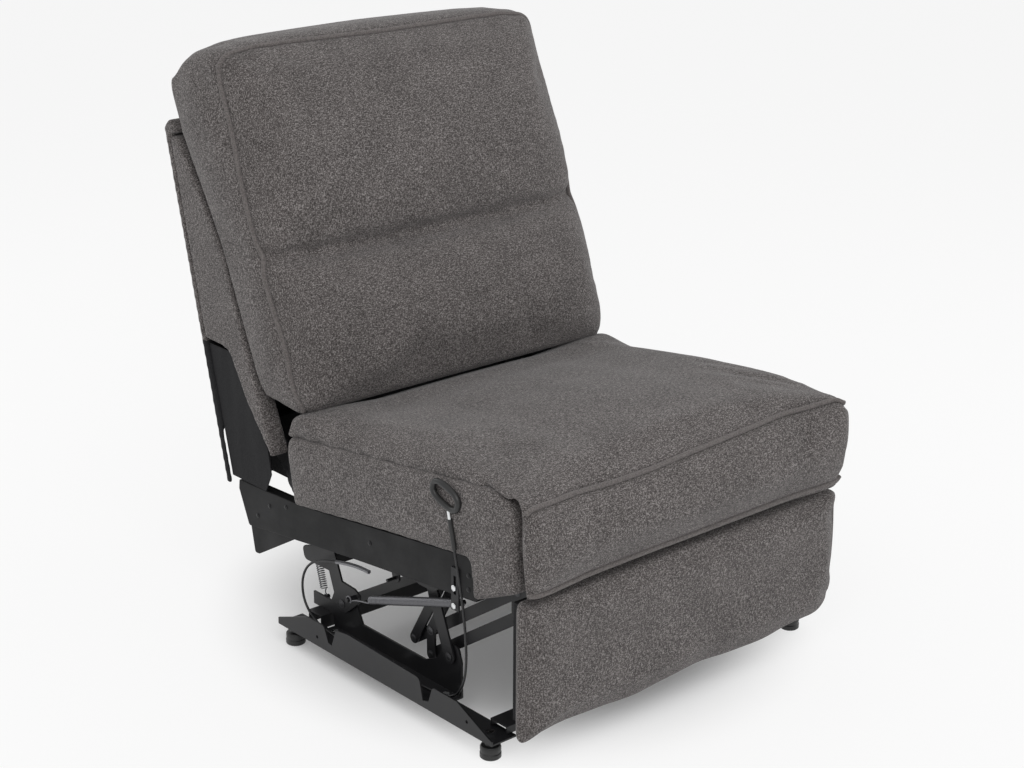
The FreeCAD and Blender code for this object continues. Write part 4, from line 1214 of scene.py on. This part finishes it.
CAMERA_PLACE = Vector((-2.2157, -2.54698, 1.6322))
CAMERA_LENS = 71.67
FLOOR_HALF = 30.0
CAMERA_TURN, CAMERA_RISE, CAMERA_ROLL = math.radians(-41.3), math.radians(19.4), math.radians(0.3)


class RECLINER_OT_stage(bpy.types.Operator):
    """Pale floor, soft lights and the camera"""
    bl_idname = "recliner.stage"
    bl_label = "Stage"

    def execute(self, context):
        look = context.scene.recliner_stage
        context.scene.view_settings.view_transform = "Standard"
        self.floor(look)
        self.room(context.scene, look)
        self.lamp("key", look.key, (-1.6, -2.2, 3.1), 2.6)
        self.lamp("fill", look.fill, (2.9, -1.6, 1.9), 2.4)
        self.lamp("rim", look.fill * 0.8, (-1.2, 2.8, 2.2), 2.0)
        self.camera(context.scene)
        return {"FINISHED"}

    def beside_chair(self, tree):
        """0.12 on the floor under the chair, 1 away from it."""
        place = wired(tree, "ShaderNodeTexCoord", {}, "Object")
        oval = wired(tree, "ShaderNodeMapping", {"Vector": place, "Scale": (2.5, 2.2, 1.0)})
        away = wired(tree, "ShaderNodeVectorMath", {0: oval}, "Value", operation="LENGTH")
        return wired(tree, "ShaderNodeMapRange", {0: away, 1: 0.75, 2: 1.35, 3: 0.12, 4: 1.0},
                     interpolation_type="SMOOTHSTEP")

    def floor(self, look):
        """A plain floor that the camera sees mostly as white, so that the shadow on it stays soft."""
        corners = [(FLOOR_HALF * x, FLOOR_HALF * y, 0) for x, y in ((-1, -1), (1, -1), (1, 1), (-1, 1))]
        mesh = bpy.data.meshes.new("floor")
        mesh.from_pydata(corners, [], [(0, 1, 2, 3)])
        floor = placed("floor", mesh)
        material = bpy.data.materials.new("floor")
        material.use_nodes = True
        tree = material.node_tree
        lit = tree.nodes["Principled BSDF"]
        lit.inputs["Base Color"].default_value = (*look.floor, 1.0)
        lit.inputs["Roughness"].default_value = 0.9
        path = tree.nodes.new("ShaderNodeLightPath").outputs
        seen = wired(tree, "ShaderNodeMath", {0: path["Is Camera Ray"], 1: path["Is Glossy Ray"]},
                     operation="MAXIMUM")
        share = wired(tree, "ShaderNodeMath", {0: self.beside_chair(tree), 1: 0.8}, operation="MULTIPLY")
        part = wired(tree, "ShaderNodeMath", {0: seen, 1: share}, operation="MULTIPLY")
        glow = wired(tree, "ShaderNodeEmission", {})
        shown = wired(tree, "ShaderNodeMixShader", {0: part, 1: lit.outputs[0], 2: glow})
        tree.links.new(shown, tree.nodes["Material Output"].inputs["Surface"])
        mesh.materials.append(material)

    def room(self, scene, look):
        """Even light all round, behind which the camera sees white."""
        scene.world = bpy.data.worlds.new("room")
        scene.world.use_nodes = True
        tree = scene.world.node_tree
        light = tree.nodes["Background"]
        light.inputs["Strength"].default_value = look.sky
        light.inputs["Color"].default_value = (1.0, 1.0, 1.0, 1.0)
        backdrop = wired(tree, "ShaderNodeBackground", {"Color": (1.0, 1.0, 1.0, 1.0)})
        seen = wired(tree, "ShaderNodeLightPath", {}, "Is Camera Ray")
        mix = wired(tree, "ShaderNodeMixShader", {0: seen, 1: light.outputs[0], 2: backdrop})
        tree.links.new(mix, tree.nodes["World Output"].inputs["Surface"])

    def lamp(self, name, power, place, size):
        light = bpy.data.lights.new(name, "AREA")
        light.energy = power
        light.size = size
        lamp = placed(name, light)
        lamp.location = place
        lamp.rotation_euler = (Vector((0, 0, 0.5)) - Vector(place)).to_track_quat("-Z", "Y").to_euler()

    def camera(self, scene):
        turn, rise, roll = CAMERA_TURN, CAMERA_RISE, CAMERA_ROLL
        back = Vector((math.sin(turn) * math.cos(rise), -math.cos(turn) * math.cos(rise), math.sin(rise)))
        right = (-back).cross(Vector((0, 0, 1))).normalized()
        up = back.cross(right)
        axes = (right * math.cos(roll) + up * math.sin(roll),
                up * math.cos(roll) - right * math.sin(roll), back)
        data = bpy.data.cameras.new("camera")
        data.sensor_fit = "HORIZONTAL"
        data.lens = CAMERA_LENS
        data.clip_end = 60
        camera = placed("camera", data)
        camera.matrix_world = Matrix.Translation(CAMERA_PLACE) @ Matrix(axes).transposed().to_4x4()
        scene.camera = camera


class RECLINER_PT_panel(bpy.types.Panel):
    """Lists the steps that dress the recliner"""
    bl_label = "Recliner"
    bl_idname = "RECLINER_PT_panel"
    bl_space_type = "VIEW_3D"
    bl_region_type = "UI"
    bl_category = "Recliner"

    def draw(self, context):
        layout = self.layout
        scene = context.scene
        for group in (scene.recliner_fabric, scene.recliner_hardware, scene.recliner_stage):
            box = layout.box()
            for name in group.bl_rna.properties.keys():
                if name not in ("rna_type", "name"):
                    box.prop(group, name)
        for step in STEPS:
            layout.operator(step.bl_idname)


GROUPS = (RECLINER_PG_fabric, RECLINER_PG_hardware, RECLINER_PG_stage)
STEPS = (
    RECLINER_OT_stage, RECLINER_OT_release_cable, RECLINER_OT_back_cushion, RECLINER_OT_seat_cushion,
    RECLINER_OT_seat_sides, RECLINER_OT_footrest_pad, RECLINER_OT_back_shell, RECLINER_OT_steelwork,
    RECLINER_OT_woodwork, RECLINER_OT_feet, RECLINER_OT_rivets, RECLINER_OT_fasteners, RECLINER_OT_springs,
    RECLINER_OT_deck_springs, RECLINER_OT_webbing, RECLINER_OT_pull_ring,
)


def register():
    for kind in GROUPS + STEPS + (RECLINER_PT_panel,):
        bpy.utils.register_class(kind)
    bpy.types.Scene.recliner_fabric = bpy.props.PointerProperty(type=RECLINER_PG_fabric)
    bpy.types.Scene.recliner_hardware = bpy.props.PointerProperty(type=RECLINER_PG_hardware)
    bpy.types.Scene.recliner_stage = bpy.props.PointerProperty(type=RECLINER_PG_stage)


def unregister():
    del bpy.types.Scene.recliner_stage
    del bpy.types.Scene.recliner_hardware
    del bpy.types.Scene.recliner_fabric
    for kind in (RECLINER_PT_panel,) + STEPS[::-1] + GROUPS[::-1]:
        bpy.utils.unregister_class(kind)


def main():
    register()
    for step in STEPS:
        name = step.bl_idname.split(".")[1]
        getattr(bpy.ops.recliner, name)()


if __name__ == "__main__":
    main()
